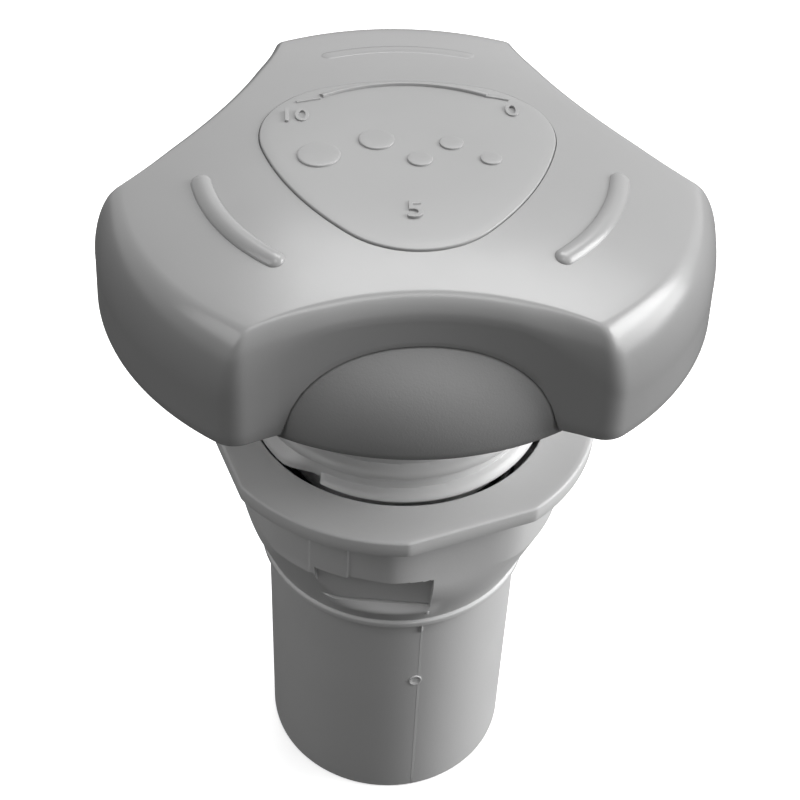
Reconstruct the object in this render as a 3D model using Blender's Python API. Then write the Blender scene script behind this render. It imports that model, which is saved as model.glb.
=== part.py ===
"""Air control valve for a moulded shell, as an assembly of separate pieces.

The valve axis is Z. The origin is the centre of the shell hole, on the plane
where the back of the shell seats on the flange of the valve body. The pipe
spigot points down, the handle points up, and one handle lobe points to +Y.
Every size is in millimetres and becomes metres when a mesh is made.
"""
import math

import bmesh
import bpy

MM = 0.001

# Running and seating clearances
GAP = 0.3
PILOT_CLEARANCE = 0.4
THREAD_CLEARANCE = 0.4
HANDLE_CLEARANCE = 0.45
RIM_CLEARANCE = 0.75
END_CLEARANCE = 0.8

# Clamping of the shell
CLAMP_GAP = 19.11
CLAMP_TRAVEL = 12.0

# Valve body: spigot, bead, cone, collar and flange, from the pipe end up
PIPE_OD = 33.4
PIPE_WALL = 3.35
PIPE_END_CHAMFER = 0.7
SPIGOT_LENGTH = 37.0
BEAD_HEIGHT = 1.2
BEAD_PROUD = 0.75
CONE_HEIGHT = 10.3
COLLAR_HEIGHT = 9.9
COLLAR_WALL = 2.7
COLLAR_FLAT_DEPTH = 1.3
FLANGE_THICKNESS = 2.25
FLANGE_WIDTH = 3.4
FLANGE_FLAT_DEPTH = 1.35
FLANGE_CHAMFER = 0.3
FIRST_FLAT_ANGLE = 18.6
FLAT_COUNT = 4

# Two shallow recesses in the collar, by their angles about the axis
RECESS_START = 235.9
RECESS_END = 279.9
RECESS_BOTTOM = -16.3
RECESS_TOP = -11.0
RECESS_DEPTH_TOP = 1.4
RECESS_DEPTH_BOTTOM = 2.4
STEP_START = 248.9
STEP_END = 268.6
STEP_DEPTH = 0.4
STEP_MARGIN = 1.2

# Wall fitting: threaded neck, measured over its crests, pilot, deck and boss
NECK_DIAMETER = 36.4
THREAD_PITCH = 4.0
THREAD_DEPTH = 1.3
THREAD_ROOT_WIDTH = 2.3
THREAD_CREST_WIDTH = 1.0
THREAD_LIFT = 0.9
THREAD_ANGLE = 232.9
THREAD_STEPS = 30
NECK_START = 0.3
NECK_BORE = 23.0
PILOT_DIAMETER = 30.0
PILOT_LENGTH = 9.3
PILOT_CHAMFER = 0.5
FITTING_FLANGE_THICKNESS = 2.0
FITTING_FLANGE_WIDTH = 9.97
BOSS_RADIUS = 7.0
BOSS_LENGTH = 10.4

# Seals
BODY_RING_SECTION = 1.8
BODY_RING_UP = 1.8
STEM_RING_SECTION = 1.1
STEM_RING_PITCH = 5.5
STEM_RING_UP = 2.3
GASKET_THICKNESS = 1.5
GASKET_MARGIN = 0.7
PORT_SEAL_THICKNESS = 0.8

# Air ports, the same in the deck, the port seal and the rotor
PORT_COUNT = 3
PORT_SWEEP = 60.0
PORT_INNER = 7.7
PORT_OUTER = 10.9
HALF_OPEN_ANGLE = 30.0
FIRST_PORT_ANGLE = 90.0

# Rotor and its stops
ROTOR_RADIUS = 13.0
ROTOR_THICKNESS = 2.0
ROTOR_HUB_RADIUS = 6.8
ROTOR_HUB_HEIGHT = 1.6
STOP_TAB_RADIUS = 16.4
STOP_TAB_SWEEP = 16.0
STOP_POST_SWEEP = 8.0
STOP_POST_INNER = 13.9
HANDLE_SWING = 40.0
STOP_SLACK = 1.0
STOP_ANGLE = 90.0

# Stem
STEM_RADIUS = 4.0
STEM_HEX = 8.0
STEM_COLLAR_RADIUS = 6.3
STEM_TAIL = 1.5
CLIP_THICKNESS = 0.8
CLIP_GROOVE_DEPTH = 1.0
CLIP_RADIUS = 6.2
CLIP_MOUTH = 80.0
WASHER_THICKNESS = 0.8
WASHER_RADIUS = 6.8

# Escutcheon dome
DOME_WALL = 2.0
DOME_SHOULDER = 11.0
DOME_BAND = 0.9
DOME_LEDGE = 1.6
DOME_LEDGE_HEIGHT = 1.5
DOME_CROWN_RISE = 0.3
AIR_SLOT_COUNT = 12
AIR_SLOT_WIDTH = 2.4
AIR_SLOT_INNER = 10.2
AIR_SLOT_OUTER = 17.0

# Handle: three lobes with shallow scallops between them
HANDLE_OVERHANG = 4.93
HANDLE_BOTTOM = 20.1
SCALLOP_RADIUS = 44.0
SCALLOP_DEPTH = 10.5
HANDLE_CORNER = 3.2
SMALLEST_CORNER = 0.8
HANDLE_WALL = 2.2
WALL_DRAFT = 0.25
EDGE_ROUND_LOBE = 3.8
EDGE_ROUND_SCALLOP = 2.0
EDGE_DROP_LOBE = 7.8
EDGE_DROP_SCALLOP = 2.7
LOBE_BLEND_START = 20.0
LOBE_BLEND_END = 40.0
HANDLE_TOP = 36.75
CROWN_FLAT_RADIUS = 8.0
CROWN_FALL = 3.4
CROWN_FALL_INSET = 2.1
CAP_THICKNESS = 3.2
HUB_RADIUS = 7.2
HUB_BOTTOM = 26.8
HUB_SOCKET_COVER = 4.75
HANDLE_WEB = 1.5
SCALLOP_AXIS = 270.0

# Raised grip ribs on the lobes
RIB_INSET = 12.3
RIB_HALF_SPAN = 22.5
RIB_WIDTH = 2.3
RIB_RISE = 0.6

# Legend plate, a rounded triangle that snaps into the handle
PLATE_SIDE_MARGIN = 10.15
PLATE_SIDE_CURVE = 19.0
PLATE_CORNER = 10.4
PLATE_THICKNESS = 1.5
PLATE_PROUD = 0.45
PLATE_EDGE_ROUND = 0.2
PEG_RADIUS = 1.2
PEG_LENGTH = 1.3
PEG_INSET = 4.0

# Handle screw
SCREW_RADIUS = 1.5
SCREW_HEAD_RADIUS = 3.6
SCREW_HEAD_HEIGHT = 1.4
SCREW_LENGTH = 9.0
SCREW_WEB = 1.4

# Facets around a full turn
ROUND_LARGE = 60
ROUND_MEDIUM = 40
ROUND_SMALL = 20

# Levels worked out from the sizes above
COLLAR_BOTTOM = -FLANGE_THICKNESS - COLLAR_HEIGHT
CONE_BOTTOM = COLLAR_BOTTOM - CONE_HEIGHT
BEAD_BOTTOM = CONE_BOTTOM - BEAD_HEIGHT
PIPE_END = BEAD_BOTTOM - SPIGOT_LENGTH
PIPE_RADIUS = PIPE_OD / 2
PIPE_BORE_RADIUS = PIPE_RADIUS - PIPE_WALL
BEAD_RADIUS = PIPE_RADIUS + BEAD_PROUD
NECK_RADIUS = NECK_DIAMETER / 2
NECK_ROOT_RADIUS = NECK_RADIUS - THREAD_DEPTH
SOCKET_RADIUS = NECK_RADIUS + THREAD_CLEARANCE
COLLAR_RADIUS = SOCKET_RADIUS + COLLAR_WALL
FLANGE_RADIUS = COLLAR_RADIUS + FLANGE_WIDTH
SOCKET_FLOOR = NECK_START - CLAMP_TRAVEL - END_CLEARANCE
PILOT_RADIUS = PILOT_DIAMETER / 2
PILOT_END = NECK_START - PILOT_LENGTH
SEAL_BORE_RADIUS = PILOT_RADIUS + PILOT_CLEARANCE
SEAL_BORE_FLOOR = PILOT_END - CLAMP_TRAVEL - END_CLEARANCE
DECK_BOTTOM = CLAMP_GAP + GAP
DECK_TOP = DECK_BOTTOM + FITTING_FLANGE_THICKNESS
FITTING_FLANGE_RADIUS = NECK_RADIUS + FITTING_FLANGE_WIDTH
BOSS_BORE_RADIUS = STEM_RADIUS + GAP
BOSS_BOTTOM = DECK_BOTTOM - BOSS_LENGTH
SEAT = DECK_TOP + GAP
ROTOR_BOTTOM = SEAT + PORT_SEAL_THICKNESS + GAP
ROTOR_TOP = ROTOR_BOTTOM + ROTOR_THICKNESS
WASHER_TOP = BOSS_BOTTOM - GAP
WASHER_BOTTOM = WASHER_TOP - WASHER_THICKNESS
CLIP_TOP = WASHER_BOTTOM - GAP
CLIP_BOTTOM = CLIP_TOP - CLIP_THICKNESS
CLIP_GROOVE_RADIUS = STEM_RADIUS - CLIP_GROOVE_DEPTH
STEM_BOTTOM = CLIP_BOTTOM - GAP - STEM_TAIL
DOME_RADIUS = FITTING_FLANGE_RADIUS + GAP + DOME_WALL
DOME_BEND = CLAMP_GAP + DOME_BAND
DOME_TOP = DOME_BEND + DOME_SHOULDER
HANDLE_RADIUS = DOME_RADIUS + HANDLE_OVERHANG
SCALLOP_MID = HANDLE_RADIUS - SCALLOP_DEPTH
SCALLOP_CENTRE = SCALLOP_MID + SCALLOP_RADIUS
LOBE_EDGE_INSET = WALL_DRAFT + EDGE_ROUND_LOBE
SCALLOP_EDGE_INSET = WALL_DRAFT + EDGE_ROUND_SCALLOP
CROWN_FALL_RADIUS = HANDLE_RADIUS - CROWN_FALL_INSET
RIB_RADIUS = HANDLE_RADIUS - RIB_INSET
PLATE_SIDE_REACH = SCALLOP_MID - PLATE_SIDE_MARGIN
PLATE_SIDE_OFFSET = PLATE_SIDE_CURVE
PLATE_SIDE_RADIUS = PLATE_SIDE_REACH + PLATE_SIDE_OFFSET
PEG_CIRCLE = PLATE_SIDE_REACH - PEG_INSET
PLATE_BOTTOM_DROP = PLATE_THICKNESS - PLATE_PROUD
POCKET_DROP = PLATE_BOTTOM_DROP + GAP
HUB_SOCKET_TOP = HANDLE_TOP - HUB_SOCKET_COVER
STEM_TOP = HUB_SOCKET_TOP - GAP
SCREW_SEAT = HUB_SOCKET_TOP + SCREW_WEB


def clear_scene():
    """Remove every object that the scene starts with."""
    for obj in list(bpy.data.objects):
        bpy.data.objects.remove(obj, do_unlink=True)


def make_material(name, grey, roughness, metallic=0.0):
    """A plain Principled material in a neutral grey."""
    material = bpy.data.materials.new(name)
    material.use_nodes = True
    shader = material.node_tree.nodes["Principled BSDF"]
    shader.inputs["Base Color"].default_value = (grey, grey, grey, 1.0)
    shader.inputs["Roughness"].default_value = roughness
    shader.inputs["Metallic"].default_value = metallic
    return material


def finish_mesh(name, bm, material=None, helper=False):
    """Turn a bmesh in millimetres into an object in metres."""
    bmesh.ops.recalc_face_normals(bm, faces=bm.faces)
    bmesh.ops.scale(bm, vec=(MM, MM, MM), verts=bm.verts)
    mesh = bpy.data.meshes.new(name)
    bm.to_mesh(mesh)
    bm.free()
    mesh.shade_smooth()
    mesh.set_sharp_from_angle(angle=math.radians(35.0))
    obj = bpy.data.objects.new(name, mesh)
    bpy.context.scene.collection.objects.link(obj)
    if material:
        mesh.materials.append(material)
    if helper:
        obj.hide_render = True
        obj.display_type = "WIRE"
    return obj


def polar(radius, degrees, height):
    """A point given by its radius, its angle about Z and its height."""
    angle = math.radians(degrees)
    return (radius * math.cos(angle), radius * math.sin(angle), height)


def skin(bm, rings, closed_path, capped):
    """Join rings of vertices, each a closed loop, with faces."""
    count = len(rings)
    last = count if closed_path else count - 1
    for step in range(last):
        near = rings[step]
        far = rings[(step + 1) % count]
        size = len(near)
        for k in range(size):
            after = (k + 1) % size
            bm.faces.new((near[k], near[after], far[after], far[k]))
    if capped:
        bm.faces.new(rings[0])
        bm.faces.new(rings[-1])


def turned(name, profile, segments, material=None, helper=False, first=0.0):
    """A full turn of a closed profile of (radius, height) points."""
    bm = bmesh.new()
    step = 360.0 / segments
    rings = []
    for k in range(segments):
        angle = first + k * step
        rings.append([bm.verts.new(polar(r, angle, z)) for r, z in profile])
    skin(bm, rings, closed_path=True, capped=False)
    return finish_mesh(name, bm, material, helper)


def turned_sector(bm, profile, start, sweep, segments):
    """Part of a turn of a closed profile, with flat ends, added to bm."""
    rings = []
    for k in range(segments + 1):
        angle = start + sweep * k / segments
        rings.append([bm.verts.new(polar(r, angle, z)) for r, z in profile])
    skin(bm, rings, closed_path=False, capped=True)


def prism(bm, outline, bottom, top):
    """An upright prism on an outline of (x, y) points, added to bm."""
    rings = []
    for height in (bottom, top):
        rings.append([bm.verts.new((x, y, height)) for x, y in outline])
    skin(bm, rings, closed_path=False, capped=True)


def circle(radius, segments, centre=(0.0, 0.0)):
    """An outline of points on a circle."""
    points = []
    for k in range(segments):
        x, y, _ = polar(radius, 360.0 * k / segments, 0.0)
        points.append((centre[0] + x, centre[1] + y))
    return points


def hexagon(across_flats):
    """A hexagon outline by its width across flats."""
    return circle(across_flats / math.sqrt(3.0), 6)


def rectangle(x0, x1, y0, y1, degrees):
    """A rectangle outline, turned about the origin."""
    turn = math.radians(degrees)
    points = []
    for x, y in ((x0, y0), (x1, y0), (x1, y1), (x0, y1)):
        points.append((
            x * math.cos(turn) - y * math.sin(turn),
            x * math.sin(turn) + y * math.cos(turn),
        ))
    return points


def boolean(target, tool, operation):
    """Add an exact Boolean modifier that keeps the tool as a helper."""
    modifier = target.modifiers.new(tool.name, "BOOLEAN")
    modifier.operation = operation
    modifier.solver = "EXACT"
    modifier.object = tool


def cut(target, tool):
    """Take the tool's shape out of the target."""
    boolean(target, tool, "DIFFERENCE")


def join(target, tool):
    """Add the tool's shape to the target."""
    boolean(target, tool, "UNION")


def cut_prisms(target, name, outlines, bottom, top):
    """Cut upright prisms on several outlines out of the target."""
    bm = bmesh.new()
    for outline in outlines:
        prism(bm, outline, bottom, top)
    cut(target, finish_mesh(name, bm, helper=True))


def arc_profile(centre_r, centre_z, radius, start, end, steps):
    """Points of an arc in the radius and height plane."""
    points = []
    for k in range(steps + 1):
        angle = math.radians(start + (end - start) * k / steps)
        points.append((
            centre_r + radius * math.cos(angle),
            centre_z + radius * math.sin(angle),
        ))
    return points


def ring_seal(name, centre_radius, height, section, segments, material):
    """An O-ring with a round section."""
    profile = arc_profile(centre_radius, height, section / 2, 0.0, 315.0, 7)
    return turned(name, profile, segments, material)


def make_valve_body(material):
    """Spigot, bead, cone, collar and wrench flange in one moulding."""
    profile = [
        (PIPE_BORE_RADIUS, PIPE_END),
        (PIPE_RADIUS - PIPE_END_CHAMFER, PIPE_END),
        (PIPE_RADIUS, PIPE_END + PIPE_END_CHAMFER),
        (PIPE_RADIUS, BEAD_BOTTOM - BEAD_PROUD / 2),
        (BEAD_RADIUS, BEAD_BOTTOM),
        (BEAD_RADIUS, CONE_BOTTOM),
        (COLLAR_RADIUS, COLLAR_BOTTOM),
        (COLLAR_RADIUS, -FLANGE_THICKNESS),
        (FLANGE_RADIUS, -FLANGE_THICKNESS),
        (FLANGE_RADIUS, -FLANGE_CHAMFER),
        (FLANGE_RADIUS - FLANGE_CHAMFER, 0.0),
        (SOCKET_RADIUS, 0.0),
        (SOCKET_RADIUS, SOCKET_FLOOR),
        (SEAL_BORE_RADIUS, SOCKET_FLOOR - PILOT_CLEARANCE),
        (SEAL_BORE_RADIUS, SEAL_BORE_FLOOR),
        (PIPE_BORE_RADIUS, SEAL_BORE_FLOOR),
    ]
    body = turned("valve_body", profile, ROUND_LARGE, material)
    flange_flat = FLANGE_RADIUS - FLANGE_FLAT_DEPTH
    collar_flat = COLLAR_RADIUS - COLLAR_FLAT_DEPTH
    reach = 2 * FLANGE_RADIUS
    half = FLANGE_RADIUS / 2
    flange_cuts = []
    collar_cuts = []
    for k in range(FLAT_COUNT):
        angle = FIRST_FLAT_ANGLE + 360.0 * k / FLAT_COUNT
        flange_cuts.append(rectangle(flange_flat, reach, -half, half, angle))
        collar_cuts.append(rectangle(collar_flat, reach, -half, half, angle))
    cut_prisms(body, "flange_flat_cutter", flange_cuts, -FLANGE_THICKNESS - 1.0, 1.0)
    cut_prisms(body, "collar_flat_cutter", collar_cuts, CONE_BOTTOM, -FLANGE_THICKNESS)
    recess = bmesh.new()
    floor = [
        (COLLAR_RADIUS - RECESS_DEPTH_BOTTOM, RECESS_BOTTOM),
        (FLANGE_RADIUS, RECESS_BOTTOM),
        (FLANGE_RADIUS, RECESS_TOP),
        (COLLAR_RADIUS - RECESS_DEPTH_TOP, RECESS_TOP),
    ]
    turned_sector(recess, floor, RECESS_START, RECESS_END - RECESS_START, 10)
    cut(body, finish_mesh("collar_recess_cutter", recess, helper=True))
    step = bmesh.new()
    step_radius = COLLAR_RADIUS - STEP_DEPTH
    step_top = -FLANGE_THICKNESS - STEP_MARGIN
    band = [
        (step_radius, RECESS_TOP - STEP_MARGIN),
        (FLANGE_RADIUS, RECESS_TOP - STEP_MARGIN),
        (FLANGE_RADIUS, step_top),
        (step_radius, step_top),
    ]
    turned_sector(step, band, STEP_START, STEP_END - STEP_START, 6)
    cut(body, finish_mesh("collar_step_cutter", step, helper=True))
    return body


def port_outline_sectors(bm, turn, bottom, top):
    """The kidney-shaped air ports as sectors, added to bm."""
    profile = [
        (PORT_INNER, bottom),
        (PORT_OUTER, bottom),
        (PORT_OUTER, top),
        (PORT_INNER, top),
    ]
    for k in range(PORT_COUNT):
        middle = FIRST_PORT_ANGLE + turn + 360.0 * k / PORT_COUNT
        turned_sector(bm, profile, middle - PORT_SWEEP / 2, PORT_SWEEP, 6)


def cut_ports(target, turn, bottom, top):
    """Cut the air ports through a disc that lies between two levels."""
    bm = bmesh.new()
    port_outline_sectors(bm, turn, bottom - 1.0, top + 1.0)
    cut(target, finish_mesh(target.name + "_port_cutter", bm, helper=True))


def make_thread_ridge():
    """The neck's helical ridge, from its lead-in up to the clamping flange."""
    bm = bmesh.new()
    first = NECK_START + THREAD_LIFT
    last = DECK_BOTTOM - THREAD_ROOT_WIDTH / 2 - GAP
    steps = int(THREAD_STEPS * (last - first) / THREAD_PITCH)
    root = NECK_ROOT_RADIUS - THREAD_CLEARANCE
    section = (
        (root, -THREAD_ROOT_WIDTH / 2),
        (NECK_RADIUS, -THREAD_CREST_WIDTH / 2),
        (NECK_RADIUS, THREAD_CREST_WIDTH / 2),
        (root, THREAD_ROOT_WIDTH / 2),
    )
    rings = []
    for k in range(steps + 1):
        angle = THREAD_ANGLE + 360.0 * k / THREAD_STEPS
        centre = first + THREAD_PITCH * k / THREAD_STEPS
        rings.append([bm.verts.new(polar(r, angle, centre + z)) for r, z in section])
    skin(bm, rings, closed_path=False, capped=True)
    return finish_mesh("thread_ridge", bm, helper=True)


def make_wall_fitting(material):
    """Pilot, threaded neck, clamping flange, port deck and stem boss."""
    bore = NECK_BORE / 2
    groove_bottom = PILOT_END + BODY_RING_UP
    groove_top = groove_bottom + BODY_RING_SECTION + 2 * GAP
    groove_radius = SEAL_BORE_RADIUS - BODY_RING_SECTION - 2 * GAP
    profile = [
        (bore, PILOT_END),
        (PILOT_RADIUS - PILOT_CHAMFER, PILOT_END),
        (PILOT_RADIUS, PILOT_END + PILOT_CHAMFER),
        (PILOT_RADIUS, groove_bottom),
        (groove_radius, groove_bottom),
        (groove_radius, groove_top),
        (PILOT_RADIUS, groove_top),
        (PILOT_RADIUS, NECK_START),
        (NECK_ROOT_RADIUS, NECK_START),
        (NECK_ROOT_RADIUS, DECK_BOTTOM),
        (FITTING_FLANGE_RADIUS, DECK_BOTTOM),
        (FITTING_FLANGE_RADIUS, DECK_TOP),
        (BOSS_BORE_RADIUS, DECK_TOP),
        (BOSS_BORE_RADIUS, BOSS_BOTTOM),
        (BOSS_RADIUS, BOSS_BOTTOM),
        (BOSS_RADIUS, DECK_BOTTOM),
        (bore, DECK_BOTTOM),
    ]
    fitting = turned("wall_fitting", profile, ROUND_LARGE, material)
    join(fitting, make_thread_ridge())
    posts = bmesh.new()
    post_profile = [
        (STOP_POST_INNER, DECK_BOTTOM + GAP),
        (STOP_TAB_RADIUS, DECK_BOTTOM + GAP),
        (STOP_TAB_RADIUS, ROTOR_TOP),
        (STOP_POST_INNER, ROTOR_TOP),
    ]
    reach = HANDLE_SWING + STOP_TAB_SWEEP / 2 + STOP_SLACK
    for start in (STOP_ANGLE + reach, STOP_ANGLE - reach - STOP_POST_SWEEP):
        turned_sector(posts, post_profile, start, STOP_POST_SWEEP, 3)
    join(fitting, finish_mesh("stop_posts", posts, helper=True))
    cut_ports(fitting, 0.0, DECK_BOTTOM, DECK_TOP)
    return fitting


def make_body_ring(material):
    """The O-ring that seals the pilot in the valve body."""
    centre = SEAL_BORE_RADIUS - GAP - BODY_RING_SECTION / 2
    height = PILOT_END + BODY_RING_UP + GAP + BODY_RING_SECTION / 2
    return ring_seal("body_o_ring", centre, height, BODY_RING_SECTION, ROUND_MEDIUM, material)


def make_flange_gasket(material):
    """The flat gasket between the fitting's flange and the shell."""
    inner = NECK_RADIUS + THREAD_CLEARANCE
    outer = FITTING_FLANGE_RADIUS - GASKET_MARGIN
    top = DECK_BOTTOM - GAP
    bottom = top - GASKET_THICKNESS
    profile = [(inner, bottom), (outer, bottom), (outer, top), (inner, top)]
    return turned("flange_gasket", profile, ROUND_MEDIUM, material)


def dome_outer(offset=0.0):
    """Outer profile of the dome from its rim to the edge of its crown."""
    centre = DOME_RADIUS - DOME_SHOULDER
    return arc_profile(centre, DOME_BEND, DOME_SHOULDER + offset, 0.0, 90.0, 8)


def make_dome(material):
    """The escutcheon dome, a shell with a ledge inside and air slots."""
    crown_hole = HUB_RADIUS + END_CLEARANCE
    inner_centre = DOME_RADIUS - DOME_SHOULDER
    inner_radius = DOME_SHOULDER - DOME_WALL
    ledge_top = SEAT + DOME_LEDGE_HEIGHT
    ledge_angle = math.degrees(math.asin((ledge_top - DOME_BEND) / inner_radius))
    inner_wall = DOME_RADIUS - DOME_WALL
    profile = [(DOME_RADIUS, CLAMP_GAP)]
    profile += dome_outer()
    profile += [
        (crown_hole, DOME_TOP + DOME_CROWN_RISE),
        (crown_hole, DOME_TOP + DOME_CROWN_RISE - DOME_WALL),
    ]
    profile += arc_profile(inner_centre, DOME_BEND, inner_radius, 90.0, ledge_angle, 4)
    profile += [
        (inner_wall - DOME_LEDGE, ledge_top),
        (inner_wall - DOME_LEDGE, SEAT),
        (inner_wall, SEAT),
        (inner_wall, CLAMP_GAP),
    ]
    dome = turned("dome_escutcheon", profile, ROUND_LARGE, material)
    slots = []
    for k in range(AIR_SLOT_COUNT):
        half = AIR_SLOT_WIDTH / 2
        angle = SCALLOP_AXIS + 360.0 * (k + 0.5) / AIR_SLOT_COUNT
        slots.append(rectangle(AIR_SLOT_INNER, AIR_SLOT_OUTER, -half, half, angle))
    cut_prisms(dome, "air_slot_cutter", slots, DOME_TOP - 2 * DOME_WALL, DOME_TOP + DOME_WALL)
    return dome


def make_port_seal(material):
    """The rubber face seal that lies on the port deck."""
    inner = STEM_COLLAR_RADIUS + GAP
    top = SEAT + PORT_SEAL_THICKNESS
    profile = [(inner, SEAT), (ROTOR_RADIUS, SEAT), (ROTOR_RADIUS, top), (inner, top)]
    seal = turned("port_seal", profile, ROUND_MEDIUM, material)
    cut_ports(seal, 0.0, SEAT, top)
    return seal


def make_rotor(material):
    """The ported disc that opens and closes the air path."""
    outline = []
    tab_start = STOP_ANGLE - STOP_TAB_SWEEP / 2
    tab_steps = 4
    for k in range(tab_steps + 1):
        angle = tab_start + STOP_TAB_SWEEP * k / tab_steps
        outline.append(polar(STOP_TAB_RADIUS, angle, 0.0)[:2])
    rim_start = tab_start + STOP_TAB_SWEEP
    rim_sweep = 360.0 - STOP_TAB_SWEEP
    for k in range(ROUND_MEDIUM + 1):
        angle = rim_start + rim_sweep * k / ROUND_MEDIUM
        outline.append(polar(ROTOR_RADIUS, angle, 0.0)[:2])
    bm = bmesh.new()
    prism(bm, outline, ROTOR_BOTTOM, ROTOR_TOP)
    rotor = finish_mesh("rotor", bm, material)
    hub = bmesh.new()
    hub_circle = circle(ROTOR_HUB_RADIUS, ROUND_SMALL)
    prism(hub, hub_circle, ROTOR_BOTTOM + GAP, ROTOR_TOP + ROTOR_HUB_HEIGHT)
    join(rotor, finish_mesh("rotor_hub", hub, helper=True))
    cut_ports(rotor, HALF_OPEN_ANGLE, ROTOR_BOTTOM, ROTOR_TOP)
    socket = [hexagon(STEM_HEX + 2 * GAP)]
    hub_top = ROTOR_TOP + ROTOR_HUB_HEIGHT
    cut_prisms(rotor, "rotor_hex_cutter", socket, ROTOR_BOTTOM - 1.0, hub_top + 1.0)
    return rotor


def stem_ring_level(index):
    """Height of the middle of one of the two stem O-rings."""
    return BOSS_BOTTOM + STEM_RING_UP + STEM_RING_SECTION / 2 + index * STEM_RING_PITCH


def make_stem(material):
    """The stem: journal with grooves, collar and hexagon for the drive."""
    ring_floor = STEM_RADIUS - STEM_RING_SECTION - GAP
    half_groove = STEM_RING_SECTION / 2 + GAP
    screw_hole = SCREW_RADIUS + GAP
    screw_floor = SCREW_SEAT - SCREW_LENGTH - GAP
    profile = [(STEM_RADIUS, SEAT)]
    for index in (1, 0):
        middle = stem_ring_level(index)
        profile += [
            (STEM_RADIUS, middle + half_groove),
            (ring_floor, middle + half_groove),
            (ring_floor, middle - half_groove),
            (STEM_RADIUS, middle - half_groove),
        ]
    profile += [
        (STEM_RADIUS, CLIP_TOP + GAP),
        (CLIP_GROOVE_RADIUS, CLIP_TOP + GAP),
        (CLIP_GROOVE_RADIUS, CLIP_BOTTOM - GAP),
        (STEM_RADIUS, CLIP_BOTTOM - GAP),
        (STEM_RADIUS, STEM_BOTTOM + GAP),
        (STEM_RADIUS - GAP, STEM_BOTTOM),
    ]
    core = 1.0
    collar_top = SEAT + PORT_SEAL_THICKNESS
    profile += [
        (core, STEM_BOTTOM),
        (core, collar_top),
        (STEM_COLLAR_RADIUS, collar_top),
        (STEM_COLLAR_RADIUS, SEAT),
    ]
    stem = turned("stem", profile, ROUND_SMALL, material)
    heart = bmesh.new()
    prism(heart, circle(core + GAP, 12), STEM_BOTTOM + END_CLEARANCE, collar_top + GAP)
    join(stem, finish_mesh("stem_core", heart, helper=True))
    drive = bmesh.new()
    prism(drive, hexagon(STEM_HEX), collar_top - GAP, STEM_TOP)
    join(stem, finish_mesh("stem_hexagon", drive, helper=True))
    cut_prisms(stem, "screw_hole_cutter", [circle(screw_hole, 16)], screw_floor, STEM_TOP + 1.0)
    return stem


def make_stem_rings(material):
    """The two O-rings on the stem, in the boss of the wall fitting."""
    centre = STEM_RADIUS - STEM_RING_SECTION / 2
    names = ("stem_o_ring_lower", "stem_o_ring_upper")
    for index, name in enumerate(names):
        level = stem_ring_level(index)
        ring_seal(name, centre, level, STEM_RING_SECTION, ROUND_SMALL, material)


def make_thrust_washer(material):
    """The plain washer between the boss and the stem clip."""
    inner = STEM_RADIUS + GAP
    profile = [
        (inner, WASHER_BOTTOM),
        (WASHER_RADIUS, WASHER_BOTTOM),
        (WASHER_RADIUS, WASHER_TOP),
        (inner, WASHER_TOP),
    ]
    return turned("thrust_washer", profile, ROUND_SMALL, material)


def make_stem_clip(material):
    """The open ring that holds the stem in its boss."""
    inner = CLIP_GROOVE_RADIUS + GAP
    profile = [
        (inner, CLIP_BOTTOM),
        (CLIP_RADIUS, CLIP_BOTTOM),
        (CLIP_RADIUS, CLIP_TOP),
        (inner, CLIP_TOP),
    ]
    bm = bmesh.new()
    turned_sector(bm, profile, SCALLOP_AXIS + CLIP_MOUTH / 2, 360.0 - CLIP_MOUTH, 20)
    return finish_mesh("stem_clip", bm, material)


def crown_height(radius):
    """Height of the handle's domed top at a radius."""
    fall = max(radius - CROWN_FLAT_RADIUS, 0.0) / (CROWN_FALL_RADIUS - CROWN_FLAT_RADIUS)
    return HANDLE_TOP - CROWN_FALL * fall * fall


def ray_to_circle(phi, centre, radius, side):
    """Distance along a ray at angle phi to a circle, near (-1) or far (+1)."""
    along = centre[0] * math.cos(phi) + centre[1] * math.sin(phi)
    off_square = centre[0] ** 2 + centre[1] ** 2 - along ** 2
    return along + side * math.sqrt(max(radius ** 2 - off_square, 0.0))


def handle_corner(inset, scallop_inset):
    """Centre and radius of a corner, and the angles where it starts and ends."""
    corner = max(HANDLE_CORNER - inset, SMALLEST_CORNER)
    reach = HANDLE_RADIUS - inset - corner
    scallop = SCALLOP_RADIUS + scallop_inset
    span = scallop + corner
    cosine = (reach ** 2 + SCALLOP_CENTRE ** 2 - span ** 2) / (2 * reach * SCALLOP_CENTRE)
    end = math.acos(cosine)
    centre = (reach * math.cos(end), reach * math.sin(end))
    share = scallop / span
    touch_x = SCALLOP_CENTRE + (centre[0] - SCALLOP_CENTRE) * share
    start = math.atan2(centre[1] * share, touch_x)
    return centre, corner, start, end


def handle_radius(phi, inset, scallop_inset):
    """Radius of the handle's outline at an angle phi from a scallop's axis."""
    centre, corner, start, end = handle_corner(inset, scallop_inset)
    if phi >= end:
        return HANDLE_RADIUS - inset
    if phi >= start:
        return ray_to_circle(phi, centre, corner, 1)
    return ray_to_circle(phi, (SCALLOP_CENTRE, 0.0), SCALLOP_RADIUS + scallop_inset, -1)


def plate_radius(phi, offset):
    """Radius of the legend plate's outline at phi from a corner's axis."""
    side = PLATE_SIDE_RADIUS + offset
    corner = PLATE_CORNER + offset
    span = side - corner
    shift = PLATE_SIDE_OFFSET
    reach = (math.sqrt(4 * span ** 2 - 3 * shift ** 2) - shift) / 2
    side_centre = (-shift * math.cos(math.pi / 3), -shift * math.sin(math.pi / 3))
    share = side / span
    touch_x = side_centre[0] + (reach - side_centre[0]) * share
    touch_y = side_centre[1] - side_centre[1] * share
    if phi <= math.atan2(touch_y, touch_x):
        return ray_to_circle(phi, (reach, 0.0), corner, 1)
    return ray_to_circle(phi, side_centre, side, 1)


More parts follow.
